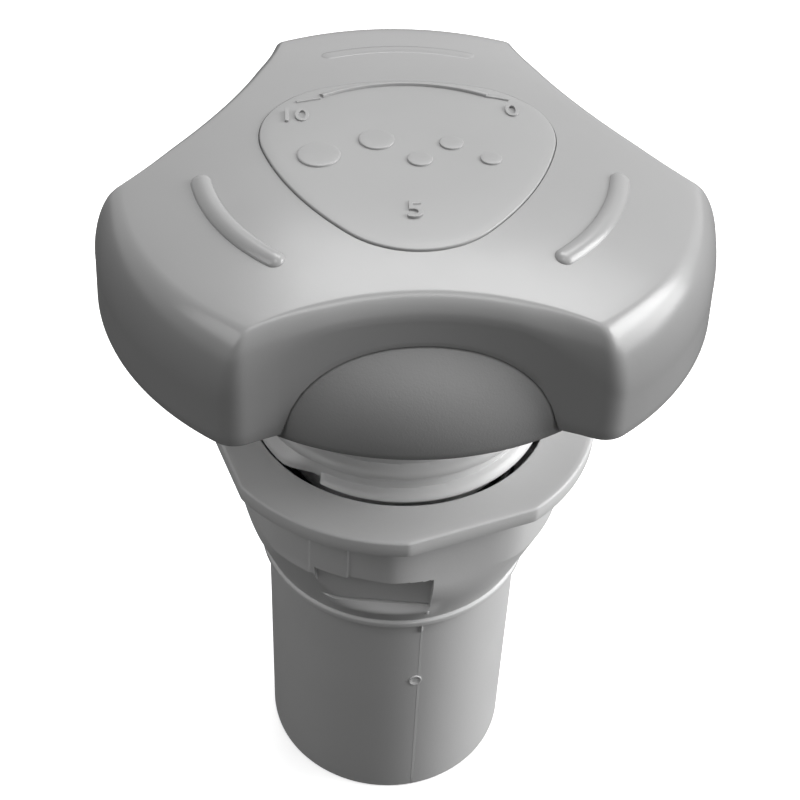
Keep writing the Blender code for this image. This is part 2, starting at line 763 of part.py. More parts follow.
def sixth_angles():
    """Angles from a scallop's axis to a lobe's axis, close at the corner."""
    rim = handle_corner(0.0, 0.0)
    edge = handle_corner(LOBE_EDGE_INSET, SCALLOP_EDGE_INSET)
    corner_start = math.degrees(min(rim[2], edge[2]))
    corner_end = math.degrees(max(rim[3], edge[3]))
    spans = (
        (0.0, corner_start, 6, 1.5),
        (corner_start, corner_end, 6, 1.0),
        (corner_end, 60.0, 4, 1.0),
    )
    angles = []
    for start, end, steps, crowding in spans:
        for k in range(steps):
            angles.append(end - (end - start) * (1.0 - k / steps) ** crowding)
    return angles


def ring_angles():
    """Pairs of the angle about Z and the angle from the nearest scallop."""
    rising = sixth_angles()
    pairs = []
    for third in range(3):
        axis = SCALLOP_AXIS + 120.0 * third
        pairs += [(axis + a, a) for a in rising]
        falling = [60.0] + rising[:0:-1]
        pairs += [(axis + 120.0 - a, a) for a in falling]
    return pairs


def lobe_share(phi_degrees):
    """How much of the lobe's edge shape applies, from 0 at a scallop to 1."""
    share = (phi_degrees - LOBE_BLEND_START) / (LOBE_BLEND_END - LOBE_BLEND_START)
    share = min(max(share, 0.0), 1.0)
    return share * share * (3.0 - 2.0 * share)


def handle_ring(bm, inset, scallop_inset, level):
    """A ring of vertices on the handle's outline; level gives the height."""
    ring = []
    for angle, phi in ring_angles():
        radius = handle_radius(math.radians(phi), inset, scallop_inset)
        ring.append(bm.verts.new(polar(radius, angle, level(radius, phi))))
    return ring


def blend_ring(bm, offset, share):
    """A ring on the crown, between its edge round and the plate's outline."""
    ring = []
    for angle, phi in ring_angles():
        turn = math.radians(phi)
        outer = handle_radius(turn, LOBE_EDGE_INSET, SCALLOP_EDGE_INSET)
        inner = plate_radius(turn, offset)
        radius = outer + (inner - outer) * share
        ring.append(bm.verts.new(polar(radius, angle, crown_height(radius))))
    return ring


def scaled_plate_ring(bm, offset, scale, lift):
    """A ring on the plate's outline, scaled towards the axis."""
    ring = []
    for angle, phi in ring_angles():
        radius = plate_radius(math.radians(phi), offset) * scale
        ring.append(bm.verts.new(polar(radius, angle, crown_height(radius) + lift)))
    return ring


def clearance_level(radius):
    """Height of the space that the dome sweeps, with its clearance, at a radius."""
    reach = DOME_SHOULDER + RIM_CLEARANCE
    off = radius - (DOME_RADIUS - DOME_SHOULDER)
    if off >= reach:
        return HANDLE_BOTTOM
    lift = math.sqrt(reach ** 2 - max(off, 0.0) ** 2)
    return max(DOME_BEND + lift, HANDLE_BOTTOM)


def rim_ring(bm, inset):
    """A ring of the handle's lower edge, which arches over the dome."""
    return handle_ring(bm, inset, inset, lambda radius, phi: clearance_level(radius))


def handle_inside_rings(bm):
    """Rings of the handle's inside, from the hub's foot out to the rim."""
    ceiling = crown_height(HUB_RADIUS) - CAP_THICKNESS
    rings = []
    for radius, level in ((HUB_RADIUS / 2, HUB_BOTTOM), (HUB_RADIUS, HUB_BOTTOM), (HUB_RADIUS, ceiling)):
        rings.append([bm.verts.new(polar(radius, angle, level)) for angle, phi in ring_angles()])
    rings.append(scaled_plate_ring(bm, 0.0, 0.85, -CAP_THICKNESS))

    def ceiling_level(radius, phi):
        return crown_height(radius) - CAP_THICKNESS

    def shoulder_level(radius, phi):
        level = crown_height(radius) - CAP_THICKNESS - EDGE_ROUND_LOBE
        return max(level, clearance_level(radius) + GAP)

    shoulder = HANDLE_WALL + WALL_DRAFT
    lobe_shoulder = shoulder + EDGE_ROUND_LOBE / 2
    scallop_shoulder = shoulder + EDGE_ROUND_SCALLOP / 2
    rings.append(handle_ring(bm, lobe_shoulder, scallop_shoulder, ceiling_level))
    rings.append(handle_ring(bm, shoulder, shoulder, shoulder_level))
    for share in (1.0, 0.5):
        rings.append(rim_ring(bm, HANDLE_WALL * share))
    return rings


def handle_outside_rings(bm):
    """Rings of the handle's outside, from its lower edge to the pocket."""
    rings = [rim_ring(bm, 0.0)]
    steps = 6
    for k in range(steps + 1):
        turn = math.radians(90.0 * k / steps)
        share = 1.0 - math.cos(turn)
        inset = WALL_DRAFT + EDGE_ROUND_LOBE * share
        scallop_inset = WALL_DRAFT + EDGE_ROUND_SCALLOP * share

        def edge_level(radius, phi, turn=turn):
            lobe = lobe_share(phi)
            drop = EDGE_DROP_SCALLOP + (EDGE_DROP_LOBE - EDGE_DROP_SCALLOP) * lobe
            return crown_height(radius) - drop * (1.0 - math.sin(turn))

        rings.append(handle_ring(bm, inset, scallop_inset, edge_level))
    for share in (0.33, 0.67, 1.0):
        rings.append(blend_ring(bm, GAP, share))
    rings.append(scaled_plate_ring(bm, GAP, 1.0, -POCKET_DROP))
    rings.append(scaled_plate_ring(bm, GAP, 0.6, -POCKET_DROP))
    rings.append(scaled_plate_ring(bm, GAP, 0.3, -POCKET_DROP))
    return rings


def make_handle_webs():
    """The webs in the lobes, from the hub to the wall, shaped over the dome."""
    bm = bmesh.new()
    inner = HUB_RADIUS - HANDLE_WEB / 2
    outer = HANDLE_RADIUS - WALL_DRAFT - HANDLE_WALL / 2
    foot = DOME_BEND + DOME_SHOULDER / 2
    bend = outer - HANDLE_WALL / 2 - EDGE_ROUND_LOBE
    outline = []
    for share in (0.0, 0.35, 0.7, 1.0):
        radius = inner + (bend - inner) * share
        outline.append((radius, crown_height(radius) - CAP_THICKNESS / 2))
    outline.append((outer, foot + END_CLEARANCE))
    outline.append((outer, foot))
    reach = DOME_SHOULDER + HANDLE_CLEARANCE
    centre = DOME_RADIUS - DOME_SHOULDER
    start = math.degrees(math.asin((foot - DOME_BEND) / reach))
    outline += arc_profile(centre, DOME_BEND, reach, start, 90.0, 5)
    rise = DOME_CROWN_RISE + HANDLE_CLEARANCE
    outline.append((HUB_RADIUS + GAP, DOME_TOP + rise))
    outline.append((inner, DOME_TOP + rise))
    for third in range(3):
        turn = math.radians(SCALLOP_AXIS + 60.0 + 120.0 * third)
        rings = []
        for side in (-HANDLE_WEB / 2, HANDLE_WEB / 2):
            ring = []
            for radius, level in outline:
                x = radius * math.cos(turn) - side * math.sin(turn)
                y = radius * math.sin(turn) + side * math.cos(turn)
                ring.append(bm.verts.new((x, y, level)))
            rings.append(ring)
        skin(bm, rings, closed_path=False, capped=True)
    return finish_mesh("handle_webs", bm, helper=True)


def make_grip_ribs():
    """The three raised round-topped ribs on the lobes."""
    bm = bmesh.new()
    half_width = RIB_WIDTH / 2
    cap_span = math.degrees(half_width / RIB_RADIUS)
    stations = [(-RIB_HALF_SPAN, 0.35)]
    stations += [(-RIB_HALF_SPAN + cap_span * 0.4, 0.8)]
    body_steps = 8
    inner_span = RIB_HALF_SPAN - cap_span
    for k in range(body_steps + 1):
        stations.append((-inner_span + 2 * inner_span * k / body_steps, 1.0))
    stations += [(RIB_HALF_SPAN - cap_span * 0.4, 0.8)]
    stations += [(RIB_HALF_SPAN, 0.35)]
    arch_steps = 6
    for third in range(3):
        axis = SCALLOP_AXIS + 60.0 + 120.0 * third
        rings = []
        for turn, scale in stations:
            base = crown_height(RIB_RADIUS)
            ring = []
            for k in range(arch_steps + 1):
                arch = math.pi * k / arch_steps
                across = half_width * scale * math.cos(arch)
                rise = RIB_RISE * scale * math.sin(arch)
                level = crown_height(RIB_RADIUS + across) + rise
                ring.append(bm.verts.new(polar(RIB_RADIUS + across, axis + turn, level)))
            for across in (-half_width * scale, half_width * scale):
                point = polar(RIB_RADIUS + across, axis + turn, base - RIB_WIDTH / 2)
                ring.append(bm.verts.new(point))
            rings.append(ring)
        skin(bm, rings, closed_path=False, capped=True)
    return finish_mesh("grip_ribs", bm, helper=True)


def peg_centres():
    """Centres of the legend plate's locating pegs."""
    centres = []
    for third in range(3):
        x, y, _ = polar(PEG_CIRCLE, SCALLOP_AXIS + 60.0 + 120.0 * third, 0.0)
        centres.append((x, y))
    return centres


def make_handle(material):
    """The three-lobed hollow handle with its hub, webs and plate pocket."""
    bm = bmesh.new()
    rings = handle_inside_rings(bm) + handle_outside_rings(bm)
    skin(bm, rings, closed_path=False, capped=True)
    handle = finish_mesh("handle", bm, material)
    join(handle, make_grip_ribs())
    join(handle, make_handle_webs())
    socket = [hexagon(STEM_HEX + 2 * GAP)]
    cut_prisms(handle, "hub_socket_cutter", socket, HUB_BOTTOM - 1.0, HUB_SOCKET_TOP)
    screw_hole = [circle(SCREW_RADIUS + GAP, 16)]
    cut_prisms(handle, "hub_screw_cutter", screw_hole, HUB_SOCKET_TOP - 1.0, SCREW_SEAT + 1.0)
    head_space = [circle(SCREW_HEAD_RADIUS + 2 * GAP, ROUND_SMALL)]
    cut_prisms(handle, "screw_head_cutter", head_space, SCREW_SEAT, HANDLE_TOP + 1.0)
    pegs = [circle(PEG_RADIUS + GAP, 12, centre) for centre in peg_centres()]
    peg_floor = crown_height(PEG_CIRCLE) - CAP_THICKNESS - 1.0
    cut_prisms(handle, "peg_hole_cutter", pegs, peg_floor, HANDLE_TOP + 1.0)
    return handle


def make_handle_screw(material):
    """The screw that holds the handle on the stem."""
    head_bottom = SCREW_SEAT + GAP
    head_top = head_bottom + SCREW_HEAD_HEIGHT
    tip = head_bottom - SCREW_LENGTH
    slot = 0.6
    profile = [
        (slot, tip),
        (SCREW_RADIUS, tip + SCREW_RADIUS),
        (SCREW_RADIUS, head_bottom),
        (SCREW_HEAD_RADIUS, head_bottom),
        (SCREW_HEAD_RADIUS, head_top - SCREW_HEAD_HEIGHT / 2),
        (SCREW_HEAD_RADIUS - SCREW_HEAD_HEIGHT / 2, head_top),
        (slot, head_top),
        (slot, head_top - SCREW_HEAD_HEIGHT),
    ]
    bm = bmesh.new()
    rings = []
    for r, z in profile:
        ring = [bm.verts.new(polar(r, 360.0 * k / 16, z)) for k in range(16)]
        rings.append(ring)
    skin(bm, rings, closed_path=False, capped=True)
    return finish_mesh("handle_screw", bm, material)


def make_legend_plate(material):
    """The domed triangular plate that covers the handle screw."""
    bm = bmesh.new()
    rings = [
        scaled_plate_ring(bm, 0.0, 0.3, -PLATE_BOTTOM_DROP),
        scaled_plate_ring(bm, 0.0, 1.0, -PLATE_BOTTOM_DROP),
        scaled_plate_ring(bm, 0.0, 1.0, PLATE_PROUD - PLATE_EDGE_ROUND),
        scaled_plate_ring(bm, -PLATE_EDGE_ROUND, 1.0, PLATE_PROUD),
        scaled_plate_ring(bm, 0.0, 0.75, PLATE_PROUD),
        scaled_plate_ring(bm, 0.0, 0.5, PLATE_PROUD),
    ]
    skin(bm, rings, closed_path=False, capped=True)
    plate = finish_mesh("legend_plate", bm, material)
    pegs = bmesh.new()
    bottom = crown_height(PEG_CIRCLE) - PLATE_BOTTOM_DROP
    for centre in peg_centres():
        prism(pegs, circle(PEG_RADIUS, 12, centre), bottom - PEG_LENGTH, bottom + GAP)
    join(plate, finish_mesh("plate_pegs", pegs, helper=True))
    return plate


def build():
    """Make every piece of the valve."""
    clear_scene()
    body_plastic = make_material("body_plastic", 0.30, 0.42)
    handle_plastic = make_material("handle_plastic", 0.36, 0.34)
    dome_plastic = make_material("dome_plastic", 0.28, 0.72)
    inner_plastic = make_material("inner_plastic", 0.62, 0.45)
    rubber = make_material("seal_rubber", 0.03, 0.75)
    steel = make_material("stainless_steel", 0.62, 0.28, 1.0)

    make_valve_body(body_plastic)
    make_body_ring(rubber)
    make_wall_fitting(body_plastic)
    make_flange_gasket(rubber)
    make_dome(dome_plastic)
    make_port_seal(rubber)
    make_rotor(inner_plastic)
    make_stem(inner_plastic)
    make_stem_rings(rubber)
    make_thrust_washer(inner_plastic)
    make_stem_clip(steel)
    make_handle(handle_plastic)
    make_handle_screw(steel)
    make_legend_plate(handle_plastic)


build()
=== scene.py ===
import math

import bmesh
import bpy
from mathutils import Matrix, Vector


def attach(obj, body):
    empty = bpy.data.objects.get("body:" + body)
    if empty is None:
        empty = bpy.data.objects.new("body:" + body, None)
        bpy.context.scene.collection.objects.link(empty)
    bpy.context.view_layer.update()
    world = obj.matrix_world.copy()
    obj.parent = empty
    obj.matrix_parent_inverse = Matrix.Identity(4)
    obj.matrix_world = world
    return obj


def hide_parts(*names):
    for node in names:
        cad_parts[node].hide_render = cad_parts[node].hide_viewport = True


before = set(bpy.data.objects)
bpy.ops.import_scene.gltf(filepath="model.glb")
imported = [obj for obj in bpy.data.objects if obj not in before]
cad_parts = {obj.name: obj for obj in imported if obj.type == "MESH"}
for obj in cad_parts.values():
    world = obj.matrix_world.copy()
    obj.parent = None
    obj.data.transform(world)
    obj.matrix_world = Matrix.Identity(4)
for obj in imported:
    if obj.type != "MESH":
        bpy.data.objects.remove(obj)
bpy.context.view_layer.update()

MM = 0.001

# Sizes shared with the CAD model, in millimetres and degrees
PIPE_END = -60.65
PIPE_RADIUS = 16.7
PIPE_BORE = 13.35
BEAD_RADIUS = 17.45
BEAD_BOTTOM = -23.65
CONE_BOTTOM = -22.45
COLLAR_BOTTOM = -12.15
COLLAR_RADIUS = 21.3
COLLAR_FLAT = 20.0
FLANGE_THICKNESS = 2.25
FLANGE_RADIUS = 24.7
FLANGE_FLAT = 23.35
FLAT_ANGLES = (18.6, 108.6, 198.6, 288.6)
SOCKET_RADIUS = 18.6
SOCKET_FLOOR = -12.5
SEAL_BORE = 15.4
SEAL_FLOOR = -21.8

NECK_ROOT = 16.9
NECK_BORE = 11.5
THREAD_CREST = 18.15
THREAD_PITCH = 4.0
THREAD_START = 232.9
PILOT_RADIUS = 15.0
PILOT_END = -9.0
GROOVE_BOTTOM = -7.2
GROOVE_TOP = -4.8
GROOVE_RADIUS = 13.0
DECK_BOTTOM = 19.41
DECK_TOP = 21.41
FITTING_FLANGE = 28.17
BOSS_RADIUS = 7.0
BOSS_BORE = 4.3
BOSS_BOTTOM = 9.01
PORT_RADII = (7.7, 10.9)
PORT_SPAN = 60.0
POST_STARTS = (139.0, 33.0)
POST_SPAN = 8.0
POST_RADII = (13.9, 16.4)
ROTOR_TOP = 24.81

DOME_RADIUS = 30.47
DOME_SHOULDER = 11.0
DOME_RIM = 19.11
DOME_BEND = 20.01
DOME_WALL = 2.0
DOME_TOP = 31.01
CROWN_HOLE = 8.0
SEAT = 21.71
RIM_BORE = 28.47
LEDGE_BORE = 26.87
LEDGE_TOP = 23.21
SLOT_COUNT = 12
SLOT_INNER = 10.2
SLOT_OUTER = 17.0
SLOT_HALF_WIDTH = 1.2

HANDLE_RADIUS = 35.39
HANDLE_BOTTOM = 20.1
HANDLE_WALL = 2.2
WALL_DRAFT = 0.25
SCALLOP_AXIS = 270.0
SCALLOP_RADIUS = 44.0
SCALLOP_CENTRE = 68.9
HANDLE_CORNER = 3.2
SMALLEST_CORNER = 0.8
EDGE_ROUND_LOBE = 3.8
EDGE_ROUND_SCALLOP = 2.0
EDGE_DROP_LOBE = 7.8
EDGE_DROP_SCALLOP = 2.7
HANDLE_TOP = 36.75
CROWN_FLAT = 8.0
CROWN_FALL = 3.4
CROWN_FALL_RADIUS = 33.3
CAP_THICKNESS = 3.2
HUB_RADIUS = 7.2
HUB_BOTTOM = 26.8
HUB_SOCKET_RADIUS = 4.9
HUB_SOCKET_TOP = 32.0
DOME_GAP = 0.15

PLATE_SIDE_RADIUS = 33.75
PLATE_SIDE_OFFSET = 19.0
PLATE_CORNER = 10.4
PLATE_PROUD = 0.22
PLATE_THICKNESS = 1.5
POCKET_DROP = 1.35

RIB_RADIUS = 23.1
RIB_HALF_SPAN = 22.5

# The collar's recess: first and last azimuth, bottom, top, floor radius at its bottom and top
RECESS = (239.0, 279.9, -17.8, -11.0, 18.4, 19.15)
# Azimuth that its flat floor faces, depth of the slot at its foot, height of the sloping ledge under it
RECESS_FACING = 262.6
RECESS_FOOT = 0.7
RECESS_LEDGE = 1.5
# How far its top edge drops towards its last azimuth, and the azimuth where it starts to
RECESS_TOP_DROP = 0.9
RECESS_DROP_START = 266.0
# The low steps in the collar: first and last azimuth, bottom, top, depth
STEP = (250.6, 268.6, -12.2, -3.45, 0.34)
SIDE_STEP = (212.0, 237.0, -12.0, -2.0, 0.2)
# The swollen lip under the recess: first and last azimuth, height, reach above and below it, rise
LIP = (240.0, 281.0, -19.0, 1.9, 3.3, 0.5)
PARTING_ANGLE = 279.9

# The thread's ridge: height of its centre at its start and at most, half width, roundness, lead-in in turns
THREAD_FOOT = -0.45
THREAD_TOP = 17.9
THREAD_HALF_WIDTH = 1.12
THREAD_ROUNDNESS = 0.6
THREAD_WINDINGS = 6
THREAD_LEAD_IN = 0.008
# The swell at its foot: rise, turns at which it starts and is full, and where it runs out along and up
SWELL_RISE = 1.27
SWELL_START = 0.6
SWELL_FULL = 0.75
SWELL_RUN_OUT = (344.0, 359.0)
SWELL_HEIGHTS = (0.7, 2.6)
NECK_SMOOTH_FROM = 18.85

DEFAULT_SHARP = 38.0
MOULDING_SHARP = 32.0


# Geometry helpers

def polar(radius, degrees, height):
    angle = math.radians(degrees)
    return (radius * math.cos(angle), radius * math.sin(angle), height)


def add_object(name, data):
    obj = bpy.data.objects.new(name, data)
    bpy.context.scene.collection.objects.link(obj)
    return obj


def shade(mesh, sharp):
    mesh.shade_smooth()
    mesh.set_sharp_from_angle(angle=math.radians(sharp))


def finish_mesh(name, bm, sharp=DEFAULT_SHARP):
    """Turn a bmesh in millimetres into an object in metres."""
    bmesh.ops.remove_doubles(bm, verts=bm.verts, dist=1e-5)
    bmesh.ops.recalc_face_normals(bm, faces=bm.faces)
    bmesh.ops.scale(bm, vec=(MM, MM, MM), verts=bm.verts)
    mesh = bpy.data.meshes.new(name)
    bm.to_mesh(mesh)
    bm.free()
    shade(mesh, sharp)
    return add_object(name, mesh)


def skin(bm, rings, closed_path, capped):
    """Join each ring of points to the next with quads."""
    count = len(rings)
    last = count if closed_path else count - 1
    for step in range(last):
        near = rings[step]
        far = rings[(step + 1) % count]
        size = len(near)
        for k in range(size):
            after = (k + 1) % size
            bm.faces.new((near[k], near[after], far[after], far[k]))
    if capped:
        bm.faces.new(rings[0])
        bm.faces.new(rings[-1])


def polar_skin(bm, azimuths, rows):
    """Close a stack of (height, radius) rows round the axis; a radius may be a function of azimuth."""
    rings = []
    for height, radius in rows:
        ring = []
        for azimuth in azimuths:
            r = radius(azimuth) if callable(radius) else radius
            ring.append(bm.verts.new(polar(r, azimuth, height)))
        rings.append(ring)
    skin(bm, rings, closed_path=True, capped=False)


def sector(bm, start, span, steps, radii, heights):
    """A closed block between two radii and two heights, from the azimuth start over the span."""
    inner, outer = radii
    bottom, top = heights
    corners = ((inner, bottom), (outer, bottom), (outer, top), (inner, top))
    rings = []
    for j in range(steps + 1):
        angle = start + span * j / steps
        rings.append([bm.verts.new(polar(r, angle, z)) for r, z in corners])
    skin(bm, rings, closed_path=False, capped=True)


def combine(target, tool, operation):
    """Cut the tool from the target, or join it to the target, and delete the tool."""
    modifier = target.modifiers.new("combine", "BOOLEAN")
    modifier.operation = operation
    modifier.solver = "EXACT"
    modifier.object = tool
    graph = bpy.context.evaluated_depsgraph_get()
    mesh = bpy.data.meshes.new_from_object(target.evaluated_get(graph), depsgraph=graph)
    target.modifiers.clear()
    old = target.data
    target.data = mesh
    bpy.data.meshes.remove(old)
    shade(mesh, DEFAULT_SHARP)
    bpy.data.objects.remove(tool)


def smooth_min(a, b, k):
    h = max(k - abs(a - b), 0.0) / k
    return min(a, b) - h * h * k * 0.25


def smooth_step(edge0, edge1, x):
    t = min(max((x - edge0) / (edge1 - edge0), 0.0), 1.0)
    return t * t * (3.0 - 2.0 * t)


def band(x, start, full, fading, end):
    """1 from full to fading, and smoothly down to 0 at start and at end."""
    return smooth_step(start, full, x) * (1.0 - smooth_step(fading, end, x))


def turn_offset(azimuth, centre):
    """Signed angle from centre to azimuth, in degrees."""
    return (azimuth - centre + 180.0) % 360.0 - 180.0


def spaced(values, gap):
    """The values in order, without those that are not more than the gap above the last one kept."""
    kept = []
    for value in sorted(values):
        if not kept or value - kept[-1] > gap:
            kept.append(value)
    return kept


def azimuth_list(step, specials):
    values = [k * step for k in range(int(round(360 / step)))]
    return spaced(values + [v % 360.0 for v in specials], 0.04)


def fillet_profile(points, radius, steps=4):
    """Round the corners of an open (height, radius) profile, by a point's third value where it has one."""
    out = [points[0][:2]]
    for i in range(1, len(points) - 1):
        here = Vector(points[i][:2])
        r = points[i][2] if len(points[i]) > 2 else radius
        before = Vector(points[i - 1][:2]) - here
        after = Vector(points[i + 1][:2]) - here
        if r <= 0 or before.length < 1e-6 or after.length < 1e-6:
            out.append(tuple(here))
            continue
        angle = before.angle(after)
        if angle > math.radians(178) or angle < math.radians(2):
            out.append(tuple(here))
            continue
        reach = min(r / math.tan(angle / 2), before.length * 0.45, after.length * 0.45)
        start = here + before.normalized() * reach
        end = here + after.normalized() * reach
        for k in range(steps + 1):
            t = k / steps
            p = start * (1 - t) ** 2 + here * 2 * t * (1 - t) + end * t ** 2
            out.append((p.x, p.y))
    out.append(points[-1][:2])
    return out


# Materials

def grey(value):
    return (value, value, value, 1.0)


def value_noise(nodes, links, coords, scale, detail, roughness=0.5):
    noise = nodes.new("ShaderNodeTexNoise")
    noise.inputs["Scale"].default_value = scale
    noise.inputs["Detail"].default_value = detail
    noise.inputs["Roughness"].default_value = roughness
    links.new(coords.outputs["Object"], noise.inputs["Vector"])
    return noise


def map_range(nodes, links, source, low, high):
    """Spread the middle of a noise, 0.3 to 0.7, over low to high."""
    node = nodes.new("ShaderNodeMapRange")
    node.inputs["From Min"].default_value = 0.3
    node.inputs["From Max"].default_value = 0.7
    node.inputs["To Min"].default_value = low
    node.inputs["To Max"].default_value = high
    links.new(source, node.inputs["Value"])
    return node


def plastic(name, tone, spread, rough_low, rough_high, grain_scale, grain_height):
    """Moulded plastic with tone variation, uneven gloss and a fine moulded grain."""
    material = bpy.data.materials.new(name)
    material.use_nodes = True
    nodes = material.node_tree.nodes
    links = material.node_tree.links
    shader = nodes["Principled BSDF"]
    coords = nodes.new("ShaderNodeTexCoord")
    clouds = value_noise(nodes, links, coords, scale=45.0, detail=3.0)
    ramp = nodes.new("ShaderNodeValToRGB")
    ramp.color_ramp.elements[0].position = 0.32
    ramp.color_ramp.elements[0].color = grey(tone - spread)
    ramp.color_ramp.elements[1].position = 0.68
    ramp.color_ramp.elements[1].color = grey(tone + spread)
    links.new(clouds.outputs["Fac"], ramp.inputs["Fac"])
    links.new(ramp.outputs["Color"], shader.inputs["Base Color"])
    smears = value_noise(nodes, links, coords, scale=130.0, detail=4.0)
    rough = map_range(nodes, links, smears.outputs["Fac"], rough_low, rough_high)
    links.new(rough.outputs["Result"], shader.inputs["Roughness"])
    grain = value_noise(nodes, links, coords, grain_scale, detail=3.0, roughness=0.6)
    bump = nodes.new("ShaderNodeBump")
    bump.inputs["Distance"].default_value = grain_height
    bump.inputs["Strength"].default_value = 1.0
    links.new(grain.outputs["Fac"], bump.inputs["Height"])
    links.new(bump.outputs["Normal"], shader.inputs["Normal"])
    return material


def steel(name):
    material = plastic(name, 0.6, 0.05, 0.22, 0.4, 900.0, 0.00001)
    material.node_tree.nodes["Principled BSDF"].inputs["Metallic"].default_value = 1.0
    return material


# Name, grey and its spread, least and greatest roughness, scale and height of the grain.
# A gloss that varied across a roughness of 0.274 gave squiggles on the handle, so it stays below.
handle_plastic = plastic("handle_plastic", 0.30, 0.008, 0.22, 0.27, 2600.0, 0.000004)
plate_plastic = plastic("plate_plastic", 0.305, 0.008, 0.34, 0.42, 2600.0, 0.000006)
dome_plastic = plastic("dome_plastic", 0.25, 0.012, 0.60, 0.72, 4200.0, 0.000028)
body_plastic = plastic("body_plastic", 0.60, 0.01, 0.42, 0.52, 2200.0, 0.00001)
neck_plastic = plastic("neck_plastic", 0.66, 0.01, 0.36, 0.46, 2200.0, 0.00001)
inner_plastic = plastic("inner_plastic", 0.6, 0.02, 0.40, 0.5, 2200.0, 0.00001)
seal_rubber = plastic("seal_rubber", 0.03, 0.006, 0.6, 0.8, 2500.0, 0.00002)
stainless = steel("stainless_steel")


# Valve body

def flat_limit(azimuth, distance):
    """Radius at which the nearest wrench flat cuts a ray from the axis."""
    off = min(abs(turn_offset(azimuth, flat)) for flat in FLAT_ANGLES)
    return distance / math.cos(math.radians(off))


def body_azimuths():
    """Azimuths of the body's points, closer together at the edges of its flats, recess and steps."""
    specials = []
    for flat in FLAT_ANGLES:
        for radius, distance in ((FLANGE_RADIUS, FLANGE_FLAT), (COLLAR_RADIUS, COLLAR_FLAT)):
            half = math.degrees(math.acos(distance / radius))
            for d in (-0.6, -0.25, 0.0, 0.25, 0.6):
                specials += [flat - half + d, flat + half + d]
    for edge in RECESS[:2] + STEP[:2] + SIDE_STEP[:2]:
        specials += [edge - 0.6, edge - 0.3, edge - 0.12, edge + 0.12, edge + 0.3, edge + 0.6]
    return azimuth_list(1.5, specials)


def collar_levels():
    """Heights of the collar's rows, closer together at the edges of its recess, step and cone."""
    levels = []
    z = CONE_BOTTOM + 0.4
    while z < -FLANGE_THICKNESS - 0.35:
        levels.append(z)
        z += 0.3
    for edge in RECESS[2:4] + STEP[2:4]:
        levels += [edge - 0.06, edge + 0.06]
    levels += [RECESS[2] + d for d in (0.24, 0.34, 0.44, 0.54)]
    levels += [RECESS[3] - 0.1 * k for k in range(10)]
    levels += [COLLAR_BOTTOM - 0.15, COLLAR_BOTTOM, COLLAR_BOTTOM + 0.15]
    levels.append(-FLANGE_THICKNESS - 0.3)
    return spaced([round(level, 4) for level in levels], 0.05)


def step_cut(azimuth, z):
    """Depth of the low step over the recess."""
    low, high, bottom, top, depth = STEP
    share = band(azimuth, low - 0.3, low + 0.5, low + 4.0, high)
    share *= band(z, bottom - 0.3, bottom + 0.3, top - 0.3, top + 0.3)
    return depth * share


def side_step_cut(azimuth, z):
    """Depth of the low step at the left of the recess, which goes up to the flange."""
    low, high, bottom, _, depth = SIDE_STEP
    share = band(azimuth, low, high - 4.0, high - 0.5, high + 0.5)
    share *= smooth_step(bottom - 1.5, bottom + 1.0, z)
    return depth * share


def lip_rise(azimuth, z):
    """Height of the swollen lip under the recess."""
    low, high, centre, above, below, rise = LIP
    share = max(1.0 - abs(z - centre) / (above if z > centre else below), 0.0) ** 0.7
    share *= band(azimuth, low - 6.0, low + 8.0, high - 5.0, high + 5.0)
    return rise * share


def collar_row(z, base):
    """A row of the collar; base is its radius without flats and marks."""
    def radius(azimuth):
        r = smooth_min(base, flat_limit(azimuth, COLLAR_FLAT), 0.9)
        low, high, bottom, top, floor_low, floor_high = RECESS
        top -= RECESS_TOP_DROP * smooth_step(RECESS_DROP_START, high, azimuth)
        inside = low <= azimuth <= high
        across = math.cos(math.radians(azimuth - RECESS_FACING))
        if bottom <= z <= top and inside:
            floor = floor_low + (floor_high - floor_low) * (z - bottom) / (top - bottom)
            return min(r, floor / across - RECESS_FOOT * smooth_step(bottom + 0.5, bottom + 0.25, z))
        r = min(r, COLLAR_RADIUS - step_cut(azimuth, z) - side_step_cut(azimuth, z)) + lip_rise(azimuth, z)
        ledge = (bottom - z) / RECESS_LEDGE
        if inside and 0.0 < ledge < 1.0:
            r = min(r, floor_low / across * (1.0 - ledge) + r * ledge)
        return r
    return (z, radius)


def cone_radius(z):
    if z >= COLLAR_BOTTOM:
        return COLLAR_RADIUS
    share = (z - CONE_BOTTOM) / (COLLAR_BOTTOM - CONE_BOTTOM)
    return BEAD_RADIUS + (COLLAR_RADIUS - BEAD_RADIUS) * share


def fillet_row(turn, fillet=0.3):
    """A row of the fillet under the flange, at a turn from the collar's side."""
    base = COLLAR_RADIUS + fillet * (1 - math.cos(turn))

    def radius(azimuth):
        return min(base, flat_limit(azimuth, COLLAR_FLAT + base - COLLAR_RADIUS))

    return (-FLANGE_THICKNESS - fillet + fillet * math.sin(turn), radius)


def flange_row(height, inset):
    def radius(azimuth):
        return smooth_min(FLANGE_RADIUS - inset, flat_limit(azimuth, FLANGE_FLAT - inset), 0.12)
    return (height, radius)


def tube_rows():
    tube = fillet_profile([
        (PIPE_END, PIPE_BORE + 0.4, 0),
        (PIPE_END, PIPE_RADIUS, 0.55),
        (BEAD_BOTTOM - 0.25, PIPE_RADIUS, 0.3),
        (BEAD_BOTTOM, BEAD_RADIUS + 0.3, 0.3),
        (CONE_BOTTOM - 0.35, BEAD_RADIUS + 0.3, 0.3),
        (CONE_BOTTOM - 0.05, BEAD_RADIUS - 0.05, 0.15),
        (CONE_BOTTOM + 0.6, cone_radius(CONE_BOTTOM + 0.6), 0),
    ], 0.3)
    return tube[:-1]


